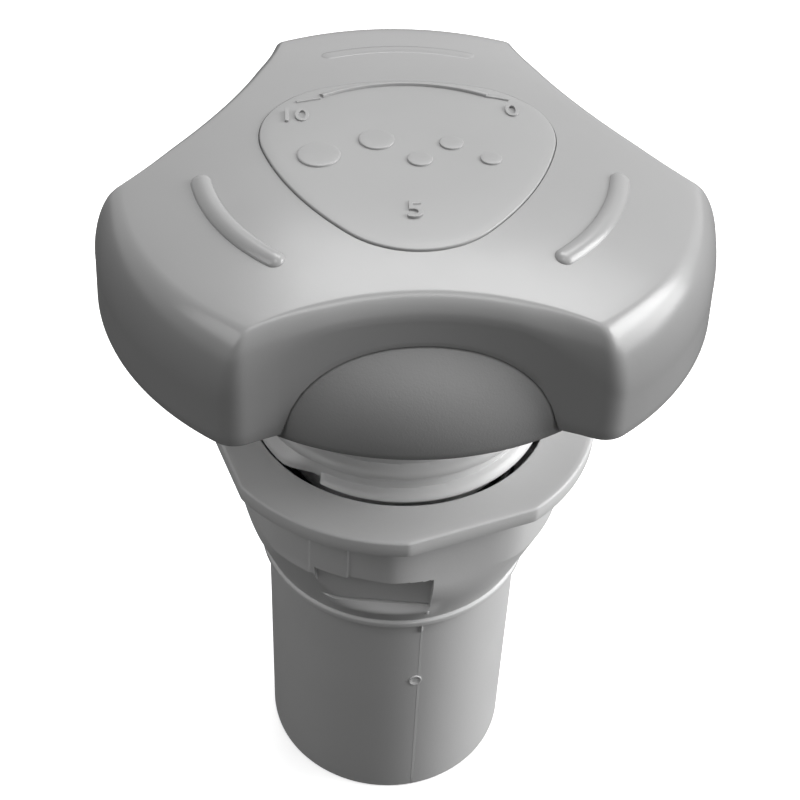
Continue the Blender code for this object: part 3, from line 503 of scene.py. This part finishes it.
def bore_rows():
    inside = fillet_profile([
        (0.0, SOCKET_RADIUS + 0.8),
        (0.0, SOCKET_RADIUS, 0.25),
        (SOCKET_FLOOR, SOCKET_RADIUS, 0.2),
        (SOCKET_FLOOR, SEAL_BORE, 0.3),
        (SEAL_FLOOR, SEAL_BORE, 0.2),
        (SEAL_FLOOR, PIPE_BORE, 0.2),
        (PIPE_END, PIPE_BORE, 0.25),
        (PIPE_END, PIPE_BORE + 0.5),
    ], 0.25)
    return inside[:-1]


def make_body():
    rows = tube_rows()
    for level in collar_levels():
        rows.append(collar_row(level, smooth_min(cone_radius(level), COLLAR_RADIUS, 0.05)))
    rows += [fillet_row(math.radians(90.0 * k / 3)) for k in range(1, 4)]
    bottom = -FLANGE_THICKNESS
    rows += [flange_row(bottom, 0.15), flange_row(bottom + 0.04, 0.04), flange_row(bottom + 0.15, 0.0)]
    rows += [flange_row(-0.3, 0.0), flange_row(-0.18, 0.05), flange_row(-0.06, 0.16)]
    rows += [flange_row(0.0, 0.32), flange_row(0.0, 0.9)]
    rows += bore_rows()
    bm = bmesh.new()
    polar_skin(bm, body_azimuths(), rows)
    body = finish_mesh("body_moulding", bm, MOULDING_SHARP)
    body.data.materials.append(body_plastic)
    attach(body, "lower_body")
    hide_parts("valve_body")


def tube_patch(name, outline, azimuth, z, steps):
    """A small raised mark on the body; outline gives (across, up), steps give (scale, lift) over the tube."""
    bm = bmesh.new()
    rings = []
    for scale, lift in steps:
        ring = []
        for across, up in outline:
            turn = azimuth + math.degrees(across * scale / PIPE_RADIUS)
            ring.append(bm.verts.new(polar(PIPE_RADIUS + lift, turn, z + up * scale)))
        rings.append(ring)
    skin(bm, rings, closed_path=False, capped=True)
    mark = finish_mesh(name, bm, 50.0)
    mark.data.materials.append(body_plastic)
    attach(mark, "lower_body")


def oval(half_width, half_height, count):
    turns = [2 * math.pi * k / count for k in range(count)]
    return [(half_width * math.cos(t), half_height * math.sin(t)) for t in turns]


def make_tube_marks():
    side = 0.14
    end = 18.0
    steps = 24
    line = [(-side, -end), (side, -end)]
    line += [(side, -end + 2 * end * k / steps) for k in range(1, steps + 1)]
    line += [(-side, end - 2 * end * k / steps) for k in range(steps)]
    tube_patch("parting_line", line, PARTING_ANGLE, -42.3, ((1.0, -0.3), (1.0, 0.012), (0.999, 0.025)))
    pad = ((1.0, -0.3), (1.0, 0.1), (0.93, 0.14), (0.8, 0.14), (0.7, 0.04), (0.3, 0.03))
    tube_patch("gate_vestige", oval(0.85, 0.95, 32), PARTING_ANGLE - 1.6, -36.1, pad)
    nub = ((1.0, -0.3), (1.0, 0.14), (0.8, 0.24), (0.4, 0.28))
    tube_patch("parting_nub_low", oval(0.2, 0.75, 20), PARTING_ANGLE - 0.4, -25.3, nub)
    nub = ((1.0, 1.3), (1.0, 2.1), (0.8, 2.23), (0.4, 2.26))
    tube_patch("parting_nub_high", oval(0.24, 0.45, 20), PARTING_ANGLE - 0.3, -19.6, nub)


# Wall fitting with its threaded neck

def thread_lift(azimuth, z):
    """Share of the ridge height at a point of the neck, 0 at the root and 1 on the crest."""
    along = (azimuth - THREAD_START) % 360.0
    turns = along / 360.0
    best = 0.0
    for winding in range(THREAD_WINDINGS):
        centre = THREAD_FOOT + THREAD_PITCH * (winding + turns)
        if centre > THREAD_TOP:
            continue
        off = abs(z - centre) / THREAD_HALF_WIDTH
        if off < 1.0:
            lift = math.cos(off * math.pi / 2) ** THREAD_ROUNDNESS
            if winding == 0:
                lift *= smooth_step(0.0, THREAD_LEAD_IN, turns)
            best = max(best, lift)
    if turns > SWELL_START:
        swell = SWELL_RISE * (1.0 - smooth_step(*SWELL_RUN_OUT, along))
        swell *= smooth_step(SWELL_START, SWELL_FULL, turns)
        swell *= 1.0 - smooth_step(*SWELL_HEIGHTS, z)
        best = max(best, swell)
    return best


def neck_row(level):
    def radius(azimuth):
        return NECK_ROOT + (THREAD_CREST - NECK_ROOT) * thread_lift(azimuth, level)
    return (level, radius)


def pilot_rows():
    return fillet_profile([
        (PILOT_END, NECK_BORE + 0.3, 0),
        (PILOT_END, PILOT_RADIUS, 0.5),
        (GROOVE_BOTTOM, PILOT_RADIUS, 0),
        (GROOVE_BOTTOM, GROOVE_RADIUS, 0),
        (GROOVE_TOP, GROOVE_RADIUS, 0),
        (GROOVE_TOP, PILOT_RADIUS, 0),
        (-0.4, PILOT_RADIUS, 0.1),
        (-0.28, NECK_ROOT - 0.3, 0.1),
        (-0.15, NECK_ROOT, 0.05),
        (-0.1, NECK_ROOT),
    ], 0.3)


def deck_rows():
    """From the neck's smooth top over the deck, through the boss and down the inside of the neck."""
    rest = fillet_profile([
        (NECK_SMOOTH_FROM, NECK_ROOT, 0),
        (DECK_BOTTOM, NECK_ROOT, 0.4),
        (DECK_BOTTOM, FITTING_FLANGE, 0.2),
        (DECK_TOP, FITTING_FLANGE, 0.2),
        (DECK_TOP, BOSS_BORE, 0.2),
        (BOSS_BOTTOM, BOSS_BORE, 0.2),
        (BOSS_BOTTOM, BOSS_RADIUS, 0.3),
        (DECK_BOTTOM, BOSS_RADIUS, 0.4),
        (DECK_BOTTOM, NECK_BORE, 0.4),
        (PILOT_END, NECK_BORE, 0.3),
        (PILOT_END, NECK_BORE + 0.4),
    ], 0.3)
    return rest[:-1]


def make_fitting():
    specials = [THREAD_START + d for d in (-0.4, -0.1, 0.1, 0.5, 0.9, 1.4, 2.0, 2.9, 3.6)]
    rows = pilot_rows()
    level = 0.0
    while level < NECK_SMOOTH_FROM - 0.05:
        rows.append(neck_row(level))
        level += 0.14
    rows += deck_rows()
    bm = bmesh.new()
    polar_skin(bm, azimuth_list(1.5, specials), rows)
    fitting = finish_mesh("fitting_moulding", bm, MOULDING_SHARP)
    ports = bmesh.new()
    for middle in (90.0, 210.0, 330.0):
        sector(ports, middle - PORT_SPAN / 2, PORT_SPAN, 24, PORT_RADII, (18.0, 23.0))
    combine(fitting, finish_mesh("port_tool", ports), "DIFFERENCE")
    posts = bmesh.new()
    for start in POST_STARTS:
        sector(posts, start, POST_SPAN, 4, POST_RADII, (20.0, ROTOR_TOP))
    combine(fitting, finish_mesh("post_tool", posts), "UNION")
    fitting.data.materials.clear()
    fitting.data.materials.append(neck_plastic)
    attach(fitting, "upper_fitting")
    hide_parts("wall_fitting")


# Escutcheon dome

def dome_rows():
    """Up the outside from the rim to the crown's hole, and down the inside to the ledge and the rim."""
    centre = DOME_RADIUS - DOME_SHOULDER
    inner = DOME_SHOULDER - DOME_WALL
    crown_rise = 0.3
    rows = [(DOME_RIM, DOME_RADIUS - 0.3), (DOME_RIM + 0.06, DOME_RADIUS - 0.1)]
    rows.append((DOME_RIM + 0.25, DOME_RADIUS))
    for k in range(37):
        angle = math.radians(90.0 * k / 36)
        rows.append((DOME_BEND + DOME_SHOULDER * math.sin(angle), centre + DOME_SHOULDER * math.cos(angle)))
    for r in (17.0, 14.0, 11.0, CROWN_HOLE + 0.4):
        rows.append((DOME_TOP + crown_rise * (centre - r) / (centre - CROWN_HOLE), r))
    rows.append((DOME_TOP + 0.1, CROWN_HOLE))
    rows.append((DOME_TOP + crown_rise - DOME_WALL, CROWN_HOLE))
    rows.append((DOME_TOP - DOME_WALL, centre))
    for k in range(1, 13):
        angle = math.radians(90.0 - 68.0 * k / 12)
        rows.append((DOME_BEND + inner * math.sin(angle), centre + inner * math.cos(angle)))
    rows += [(LEDGE_TOP, 28.0), (LEDGE_TOP, LEDGE_BORE), (SEAT, LEDGE_BORE), (SEAT, RIM_BORE)]
    rows += [(DOME_RIM + 0.2, RIM_BORE), (DOME_RIM, 28.65)]
    return rows


def slot_tool():
    """The radial air slots of the dome's crown."""
    near, far, side = SLOT_INNER, SLOT_OUTER, SLOT_HALF_WIDTH
    slots = bmesh.new()
    for k in range(SLOT_COUNT):
        turn = math.radians(SCALLOP_AXIS + 360.0 / SLOT_COUNT * (k + 0.5))
        rings = []
        for height in (27.0, 33.0):
            ring = []
            for x, y in ((near, -side), (far, -side), (far, side), (near, side)):
                ring.append(slots.verts.new((
                    x * math.cos(turn) - y * math.sin(turn),
                    x * math.sin(turn) + y * math.cos(turn),
                    height,
                )))
            rings.append(ring)
        skin(slots, rings, closed_path=False, capped=True)
    return finish_mesh("slot_tool", slots)


def make_dome():
    bm = bmesh.new()
    polar_skin(bm, [k * 1.25 for k in range(288)], dome_rows())
    dome = finish_mesh("dome_moulding", bm, MOULDING_SHARP)
    combine(dome, slot_tool(), "DIFFERENCE")
    dome.data.materials.clear()
    dome.data.materials.append(dome_plastic)
    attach(dome, "upper_fitting")
    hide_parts("dome_escutcheon")


# Handle

def crown_height(radius):
    fall = max(radius - CROWN_FLAT, 0.0) / (CROWN_FALL_RADIUS - CROWN_FLAT)
    return HANDLE_TOP - CROWN_FALL * fall * fall


def ray_to_circle(phi, centre, radius, side):
    """Distance from the axis to a circle along the angle phi, to its near (-1) or far (1) side."""
    along = centre[0] * math.cos(phi) + centre[1] * math.sin(phi)
    off_square = centre[0] ** 2 + centre[1] ** 2 - along ** 2
    return along + side * math.sqrt(max(radius ** 2 - off_square, 0.0))


def handle_radius(phi, inset, scallop_inset=None):
    """Radius of the lobed outline at an angle from the nearest scallop, moved inwards by the inset."""
    corner = max(HANDLE_CORNER - inset, SMALLEST_CORNER)
    outer = HANDLE_RADIUS - inset
    scallop = SCALLOP_RADIUS + (inset if scallop_inset is None else scallop_inset)
    reach = outer - corner
    span = scallop + corner
    cosine = (reach ** 2 + SCALLOP_CENTRE ** 2 - span ** 2) / (2 * reach * SCALLOP_CENTRE)
    corner_angle = math.acos(cosine)
    if phi >= corner_angle:
        return outer
    centre = (reach * math.cos(corner_angle), reach * math.sin(corner_angle))
    share = scallop / span
    touch_x = SCALLOP_CENTRE + (centre[0] - SCALLOP_CENTRE) * share
    touch_y = centre[1] * share
    if phi >= math.atan2(touch_y, touch_x):
        return ray_to_circle(phi, centre, corner, 1)
    return ray_to_circle(phi, (SCALLOP_CENTRE, 0.0), scallop, -1)


def plate_radius(phi, offset):
    """Radius of the plate's rounded triangle at an angle from the nearest scallop, moved outwards."""
    side = PLATE_SIDE_RADIUS + offset
    corner = PLATE_CORNER + offset
    span = side - corner
    shift = PLATE_SIDE_OFFSET
    reach = (math.sqrt(4 * span ** 2 - 3 * shift ** 2) - shift) / 2
    side_centre = (-shift * math.cos(math.pi / 3), -shift * math.sin(math.pi / 3))
    share = side / span
    touch_x = side_centre[0] + (reach - side_centre[0]) * share
    touch_y = side_centre[1] - side_centre[1] * share
    if phi <= math.atan2(touch_y, touch_x):
        return ray_to_circle(phi, (reach, 0.0), corner, 1)
    return ray_to_circle(phi, side_centre, side, 1)


def ring_angles():
    """Pairs of the angle about Z and the angle from the nearest scallop."""
    rising = []
    for start, end, steps in ((0.0, 28.0, 18), (28.0, 38.0, 22), (38.0, 60.0, 14)):
        rising += [start + (end - start) * k / steps for k in range(steps)]
    pairs = []
    for third in range(3):
        axis = SCALLOP_AXIS + 120.0 * third
        pairs += [(axis + a, a) for a in rising]
        falling = [60.0] + rising[:0:-1]
        pairs += [(axis + 120.0 - a, a) for a in falling]
    return pairs


ANGLES = ring_angles()


def lobe_share(phi):
    return smooth_step(20.0, 40.0, phi)


def handle_ring(bm, inset, level, scallop_inset=None):
    ring = []
    for angle, phi in ANGLES:
        radius = handle_radius(math.radians(phi), inset, scallop_inset)
        ring.append(bm.verts.new(polar(radius, angle, level(radius, phi))))
    return ring


def joint_gap(angle, offset):
    """The offset of the pocket's wall from the plate, narrower at the rear; an inset stays as it is."""
    if offset <= 0.0:
        return offset
    return offset * (1.0 - 0.75 * smooth_step(0.35, 0.8, math.sin(math.radians(angle))))


def blend_ring(bm, offset, share):
    """A ring on the crown, at a share of the way from the rounded edge to the pocket."""
    ring = []
    for angle, phi in ANGLES:
        turn = math.radians(phi)
        outer = handle_radius(turn, WALL_DRAFT + EDGE_ROUND_LOBE, WALL_DRAFT + EDGE_ROUND_SCALLOP)
        inner = plate_radius(turn, joint_gap(angle, offset))
        radius = outer + (inner - outer) * share
        ring.append(bm.verts.new(polar(radius, angle, crown_height(radius))))
    return ring


def plate_sink(y):
    """How far the plate's top lies below its full height; it runs out into the crown at the rear."""
    return (PLATE_PROUD - 0.04) * smooth_step(6.5, 13.0, y)


def plate_top(x, y):
    return crown_height(math.hypot(x, y)) + PLATE_PROUD - plate_sink(y)


def plate_ring(bm, offset, scale, lift):
    ring = []
    for angle, phi in ANGLES:
        radius = plate_radius(math.radians(phi), joint_gap(angle, offset)) * scale
        x, y, z = polar(radius, angle, crown_height(radius) + lift)
        if lift > 0:
            z -= min(plate_sink(y), lift)
        ring.append(bm.verts.new((x, y, z)))
    return ring


def round_ring(bm, radius, height):
    return [bm.verts.new(polar(radius, angle, height)) for angle, phi in ANGLES]


def rim_level(radius):
    """Height of the handle's lower edge: the rim, or just over the dome where the wall crosses it."""
    centre = DOME_RADIUS - DOME_SHOULDER
    off = radius - centre
    reach = DOME_SHOULDER + DOME_GAP
    if off >= reach:
        return HANDLE_BOTTOM
    if off <= 0:
        return DOME_BEND + reach
    return max(HANDLE_BOTTOM, DOME_BEND + math.sqrt(reach ** 2 - off ** 2))


# Inset and lift of the rings that round the rim
RIM_ROUND = ((0.3, 0.0), (0.13, 0.04), (0.04, 0.12), (0.0, 0.26))


def rim(lift):
    return lambda radius, phi: rim_level(radius) + lift


def wall(share):
    """Level of a ring on the side wall, at a share of the way up."""
    def level(radius, phi):
        top = crown_height(radius) - EDGE_DROP_SCALLOP
        top -= (EDGE_DROP_LOBE - EDGE_DROP_SCALLOP) * lobe_share(phi)
        low = rim_level(radius) + RIM_ROUND[-1][1]
        return low + (max(top, low + 0.2) - low) * share
    return level


def rounded_edge(turn):
    """Level of a ring on the rounded edge, at a turn from the wall towards the crown."""
    def level(radius, phi):
        drop = EDGE_DROP_SCALLOP + (EDGE_DROP_LOBE - EDGE_DROP_SCALLOP) * lobe_share(phi)
        height = crown_height(radius) - drop * (1.0 - math.sin(turn))
        return max(height, rim_level(radius) + 0.6 + 0.02 * turn)
    return level


def shoulder(radius, phi):
    return max(crown_height(radius) - CAP_THICKNESS - EDGE_ROUND_LOBE, rim_level(radius) + 0.3)


def ceiling(radius, phi):
    return crown_height(radius) - CAP_THICKNESS


def ceiling_edge(radius, phi):
    return max(ceiling(radius, phi) - 0.9, rim_level(radius) + 0.4)


def outer_rings(bm):
    """From the rim up the wall, over the rounded edge and the crown, and down into the pocket."""
    rings = [handle_ring(bm, inset, rim(lift)) for inset, lift in RIM_ROUND]
    for share in (0.2, 0.4, 0.6, 0.8, 0.95):
        rings.append(handle_ring(bm, WALL_DRAFT * share, wall(share)))
    steps = 18
    for k in range(steps + 1):
        turn = math.radians(90.0 * k / steps)
        share = 1.0 - math.cos(turn)
        inset = WALL_DRAFT + EDGE_ROUND_LOBE * share
        rings.append(handle_ring(bm, inset, rounded_edge(turn), WALL_DRAFT + EDGE_ROUND_SCALLOP * share))
    for k in range(1, 12):
        rings.append(blend_ring(bm, 0.12, k / 11))
    rings.append(plate_ring(bm, 0.08, 1.0, -0.05))
    for scale in (1.0, 0.75, 0.5, 0.25):
        rings.append(plate_ring(bm, 0.06, scale, -POCKET_DROP))
    return rings


def inner_rings(bm, rim_ring):
    """From the rim up the inside of the wall, along the ceiling and round the hub into its socket."""
    inside = HANDLE_WALL + WALL_DRAFT
    return [
        rim_ring,
        handle_ring(bm, HANDLE_WALL - 0.15, rim(0.0)),
        handle_ring(bm, HANDLE_WALL, rim(0.15)),
        handle_ring(bm, inside, shoulder),
        handle_ring(bm, inside + 0.5, ceiling_edge),
        handle_ring(bm, inside + 1.5, ceiling),
        plate_ring(bm, 0.0, 0.85, -CAP_THICKNESS),
        round_ring(bm, HUB_RADIUS, crown_height(HUB_RADIUS) - CAP_THICKNESS),
        round_ring(bm, HUB_RADIUS, HUB_BOTTOM),
        round_ring(bm, HUB_SOCKET_RADIUS, HUB_BOTTOM),
        round_ring(bm, HUB_SOCKET_RADIUS, HUB_SOCKET_TOP),
    ]


def make_handle():
    bm = bmesh.new()
    rings = outer_rings(bm)
    skin(bm, rings, closed_path=False, capped=False)
    bm.faces.new(rings[-1])
    under = inner_rings(bm, rings[0])
    skin(bm, under, closed_path=False, capped=False)
    bm.faces.new(under[-1])
    handle = finish_mesh("handle_moulding", bm, MOULDING_SHARP)
    handle.data.materials.append(handle_plastic)
    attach(handle, "handle_set")
    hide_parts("handle")


RIB_HALF_WIDTH = 1.15
RIB_SINK = 0.06
RIB_DEPTH = 0.6


def rib_ring(bm, middle, azimuth, rise, end):
    """A cross-section of a rib; end goes from 0 to 1 over its round end."""
    steps = 22
    width = RIB_HALF_WIDTH * math.sqrt(max(1.0 - end ** 2, 0.0004))
    tail = math.sqrt(max(1.0 - end ** 2, 0.0))
    ring = []
    for j in range(steps + 1):
        s = -1.0 + 2.0 * j / steps
        radius = middle + s * width
        crest = max(1.0 - s * s, 0.0) ** 0.62
        height = crown_height(radius) - RIB_SINK + (rise + RIB_SINK) * crest * tail
        ring.append(bm.verts.new(polar(radius, azimuth, height)))
    for s in (1.0, -1.0):
        radius = middle + s * width
        ring.append(bm.verts.new(polar(radius, azimuth, crown_height(radius) - RIB_DEPTH)))
    return ring


def make_grip_ribs():
    """The three ribs: name, rise, and how much further out than the others it lies."""
    ribs = (("right", 0.55, 0.0), ("rear", 0.12, 0.8), ("left", 0.62, 0.0))
    steps = 64
    cap = math.degrees(RIB_HALF_WIDTH / RIB_RADIUS)
    total = RIB_HALF_SPAN + 0.2
    for third, (label, rise, outwards) in enumerate(ribs):
        axis = SCALLOP_AXIS + 60.0 + 120.0 * third
        bm = bmesh.new()
        rings = []
        for i in range(steps + 1):
            t = -1.0 + 2.0 * i / steps
            turn = total * math.copysign(1.0 - (1.0 - abs(t)) ** 1.35, t)
            end = max(abs(turn) - (total - cap), 0.0) / cap
            rings.append(rib_ring(bm, RIB_RADIUS + outwards, axis + turn, rise, end))
        skin(bm, rings, closed_path=False, capped=True)
        rib = finish_mesh("grip_rib_" + label, bm, 50.0)
        rib.data.materials.append(handle_plastic)
        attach(rib, "handle_set")


# Legend plate and its raised marks

def make_plate():
    bm = bmesh.new()
    bottom = -(PLATE_THICKNESS - PLATE_PROUD)
    rings = [
        plate_ring(bm, -0.06, 0.3, bottom),
        plate_ring(bm, -0.06, 1.0, bottom),
        plate_ring(bm, 0.0, 1.0, bottom + 0.1),
        plate_ring(bm, 0.0, 1.0, PLATE_PROUD - 0.16),
        plate_ring(bm, -0.03, 1.0, PLATE_PROUD - 0.07),
        plate_ring(bm, -0.08, 1.0, PLATE_PROUD - 0.02),
    ]
    for scale in (1.0, 0.93, 0.86, 0.78, 0.7, 0.6, 0.5, 0.38, 0.25, 0.12):
        rings.append(plate_ring(bm, -0.18, scale, PLATE_PROUD))
    skin(bm, rings, closed_path=False, capped=True)
    plate = finish_mesh("legend_panel", bm, 50.0)
    plate.data.materials.append(plate_plastic)
    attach(plate, "handle_set")
    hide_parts("legend_plate")


def make_dots():
    """The row of round dots: x, y and radius of each. Their rear sides run out into the plate."""
    marks = (
        (-10.03, -1.01, 2.38), (-3.61, 1.83, 2.0), (0.93, -1.99, 1.4),
        (4.62, 1.09, 1.35), (8.71, -1.98, 1.2),
    )
    profile = ((1.0, -0.25), (1.0, 0.14), (0.97, 0.19), (0.9, 0.21), (0.6, 0.215), (0.25, 0.22))
    for index, (x, y, r) in enumerate(marks):
        bm = bmesh.new()
        rings = []
        for scale, lift in profile:
            ring = []
            for k in range(48):
                px = x + r * scale * math.cos(2 * math.pi * k / 48)
                py = y + r * scale * math.sin(2 * math.pi * k / 48)
                tilt = 1.0 - 0.75 * smooth_step(-0.2, 1.0, (py - y) / r)
                level = plate_top(px, py) + (lift * tilt if lift > 0.0 else lift)
                ring.append(bm.verts.new((px, py, level)))
            rings.append(ring)
        skin(bm, rings, closed_path=False, capped=True)
        dot = finish_mesh("flow_dot_%d" % (index + 1), bm, 60.0)
        dot.data.materials.append(plate_plastic)
        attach(dot, "handle_set")


# Cross-section of a raised line: place over its half width, and share of its rise
ARC_PROFILE = (
    (-1.0, -0.3), (-0.94, 0.75), (-0.8, 0.97), (-0.6, 1.0),
    (-0.2, 0.8), (0.4, 0.35), (1.0, -0.05),
)


def raised_path(name, points, width, rise):
    """A raised line on the plate along a path of (x, y) points, steep on its right-hand side."""
    bm = bmesh.new()
    rings = []
    count = len(points)
    for i, (x, y) in enumerate(points):
        ahead = points[min(i + 1, count - 1)]
        behind = points[max(i - 1, 0)]
        tangent = Vector((ahead[0] - behind[0], ahead[1] - behind[1])).normalized()
        normal = Vector((-tangent.y, tangent.x))
        ring = []
        for side, lift in ARC_PROFILE:
            px = x + normal.x * side * width / 2
            py = y + normal.y * side * width / 2
            level = plate_top(px, py) + rise * lift
            ring.append(bm.verts.new((px, py, level)))
        rings.append(ring)
    skin(bm, rings, closed_path=False, capped=True)
    line = finish_mesh(name, bm, 60.0)
    line.data.materials.append(plate_plastic)
    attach(line, "handle_set")


def make_scale_arc():
    centre_x, centre_y, radius = 0.1, -5.1, 19.2
    first, span, steps = 120.0, 60.0, 48
    points = []
    for k in range(steps + 1):
        angle = math.radians(first - span * k / steps)
        points.append((centre_x + radius * math.cos(angle), centre_y + radius * math.sin(angle)))
    raised_path("scale_arc", points, 1.1, 0.34)
    raised_path("scale_end_left", [(-12.38, 10.33), (-11.0, 10.68), (-9.65, 10.98)], 0.7, 0.2)
    raised_path("scale_end_right", [(9.5, 11.34), (10.8, 11.04), (12.08, 10.65)], 0.7, 0.2)


def make_numeral(text, label, x, y, size):
    """A plain dial numeral, raised on the plate."""
    curve = bpy.data.curves.new("numeral_" + label, "FONT")
    curve.body = text
    curve.size = size * MM
    curve.align_x = "CENTER"
    curve.align_y = "CENTER"
    curve.extrude = 0.16 * MM
    curve.bevel_depth = 0.05 * MM
    curve.resolution_u = 6
    obj = add_object("numeral_" + label, curve)
    level = plate_top(x, y) + 0.03
    obj.location = (x * MM, y * MM, level * MM)
    bpy.context.view_layer.update()
    graph = bpy.context.evaluated_depsgraph_get()
    mesh = bpy.data.meshes.new_from_object(obj.evaluated_get(graph), depsgraph=graph)
    mesh.transform(obj.matrix_world)
    bpy.data.objects.remove(obj)
    numeral = add_object("numeral_" + label, mesh)
    mesh.materials.clear()
    mesh.materials.append(plate_plastic)
    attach(numeral, "handle_set")


make_body()
make_tube_marks()
make_fitting()
make_dome()
make_handle()
make_grip_ribs()
make_plate()
make_dots()
make_scale_arc()
make_numeral("10", "left", -12.6, 6.9, 3.4)
make_numeral("0", "right", 12.1, 7.8, 3.4)
make_numeral("5", "middle", -0.2, -11.4, 4.0)


# Hidden pieces keep their CAD shape and get a detailed material

def dress(nodes, material):
    for node in nodes:
        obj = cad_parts[node]
        obj.data.materials.clear()
        obj.data.materials.append(material)


dress(("flange_gasket", "body_o_ring", "port_seal", "stem_o_ring_lower", "stem_o_ring_upper"), seal_rubber)
dress(("rotor", "stem", "thrust_washer"), inner_plastic)
dress(("stem_clip", "handle_screw"), stainless)


# Camera, fitted to the photograph; angles in degrees, distance and target height in millimetres
SENSOR_WIDTH = 36.0
LENS = 70.93
SHIFT_X = 0.001525
SHIFT_Y = 0.001475
ELEVATION = 42.71
ROLL = 2.61
AZIMUTH = -5.1
DISTANCE = 198.08
TARGET_HEIGHT = -0.65


def add_camera():
    data = bpy.data.cameras.new("photo_camera")
    data.sensor_width = SENSOR_WIDTH
    data.lens = LENS
    data.shift_x = SHIFT_X
    data.shift_y = SHIFT_Y
    data.clip_start = 0.01
    data.clip_end = 20.0
    camera = add_object("photo_camera", data)
    elevation = math.radians(ELEVATION)
    roll = math.radians(ROLL)
    turn = Matrix.Rotation(math.radians(AZIMUTH), 3, "Z")
    back = Vector((0.0, -math.cos(elevation), math.sin(elevation)))
    right = Vector((1.0, 0.0, 0.0))
    up = right.cross(-back)
    x_axis = right * math.cos(roll) + up * math.sin(roll)
    y_axis = up * math.cos(roll) - right * math.sin(roll)
    target = Vector((0.0, 0.0, TARGET_HEIGHT * MM))
    place = Matrix([turn @ x_axis, turn @ y_axis, turn @ back]).transposed().to_4x4()
    place.translation = target + (turn @ back) * DISTANCE * MM
    camera.matrix_world = place
    bpy.context.scene.camera = camera


# Light, world and floor, in metres and watts

def area_light(name, place, size, power):
    """A rectangular light that faces the origin."""
    data = bpy.data.lights.new(name, "AREA")
    data.shape = "RECTANGLE"
    data.size = size[0]
    data.size_y = size[1]
    data.energy = power
    obj = add_object(name, data)
    obj.location = place
    direction = Vector((0.0, 0.0, 0.0)) - Vector(place)
    obj.rotation_euler = direction.to_track_quat("-Z", "Y").to_euler()


def white_background(nodes, strength):
    node = nodes.new("ShaderNodeBackground")
    node.inputs["Color"].default_value = grey(1.0)
    node.inputs["Strength"].default_value = strength
    return node


def mix_by_ray(nodes, links, ray, others, rays):
    """Mix two shaders: rays where the ray is of the named kind, others elsewhere."""
    path = nodes.new("ShaderNodeLightPath")
    mix = nodes.new("ShaderNodeMixShader")
    links.new(path.outputs[ray], mix.inputs["Fac"])
    links.new(others, mix.inputs[1])
    links.new(rays, mix.inputs[2])
    return mix.outputs["Shader"]


def set_world(strength, sheen):
    """White for the camera, a weaker white in reflections and a faint ambient light."""
    world = bpy.data.worlds.new("studio_world")
    bpy.context.scene.world = world
    world.use_nodes = True
    nodes = world.node_tree.nodes
    links = world.node_tree.links
    nodes.clear()
    output = nodes.new("ShaderNodeOutputWorld")
    ambient = white_background(nodes, strength).outputs["Background"]
    white = white_background(nodes, 1.0).outputs["Background"]
    mirrored = white_background(nodes, sheen).outputs["Background"]
    unseen = mix_by_ray(nodes, links, "Is Glossy Ray", ambient, mirrored)
    links.new(mix_by_ray(nodes, links, "Is Camera Ray", unseen, white), output.inputs["Surface"])


def floor_material():
    """Nearly white for the camera, and dark for the light that it throws back on the valve."""
    material = bpy.data.materials.new("pale_floor")
    material.use_nodes = True
    nodes = material.node_tree.nodes
    links = material.node_tree.links
    nodes.clear()
    output = nodes.new("ShaderNodeOutputMaterial")
    shown = nodes.new("ShaderNodeBsdfDiffuse")
    shown.inputs["Color"].default_value = grey(0.9)
    glow = nodes.new("ShaderNodeEmission")
    glow.inputs["Color"].default_value = grey(1.0)
    glow.inputs["Strength"].default_value = 0.62
    both = nodes.new("ShaderNodeAddShader")
    links.new(shown.outputs["BSDF"], both.inputs[0])
    links.new(glow.outputs["Emission"], both.inputs[1])
    bounce = nodes.new("ShaderNodeBsdfDiffuse")
    bounce.inputs["Color"].default_value = grey(0.06)
    mixed = mix_by_ray(nodes, links, "Is Camera Ray", bounce.outputs["BSDF"], both.outputs["Shader"])
    links.new(mixed, output.inputs["Surface"])
    return material


def add_floor():
    half = 3.0
    z = PIPE_END * MM - 0.0002
    mesh = bpy.data.meshes.new("floor")
    corners = [(-half, -half, z), (half, -half, z), (half, half, z), (-half, half, z)]
    mesh.from_pydata(corners, [], [(0, 1, 2, 3)])
    floor = add_object("floor", mesh)
    mesh.materials.append(floor_material())


add_camera()
set_world(strength=0.09, sheen=0.9)
area_light("over_back", (0.13, 0.40, 0.76), (0.60, 0.36), 4.3)
area_light("over_front", (0.0, -0.22, 0.80), (0.25, 0.25), 0.9)
area_light("right_high", (0.70, 0.0, 0.42), (0.40, 0.40), 5.9)
area_light("right_level", (0.80, 0.0, 0.05), (0.40, 0.40), 3.0)
area_light("right_front", (0.66, -0.34, 0.25), (0.30, 0.30), 1.1)
area_light("left_high", (-0.55, -0.20, 0.45), (0.40, 0.40), 1.4)
add_floor()
bpy.context.scene.view_settings.view_transform = "Standard"
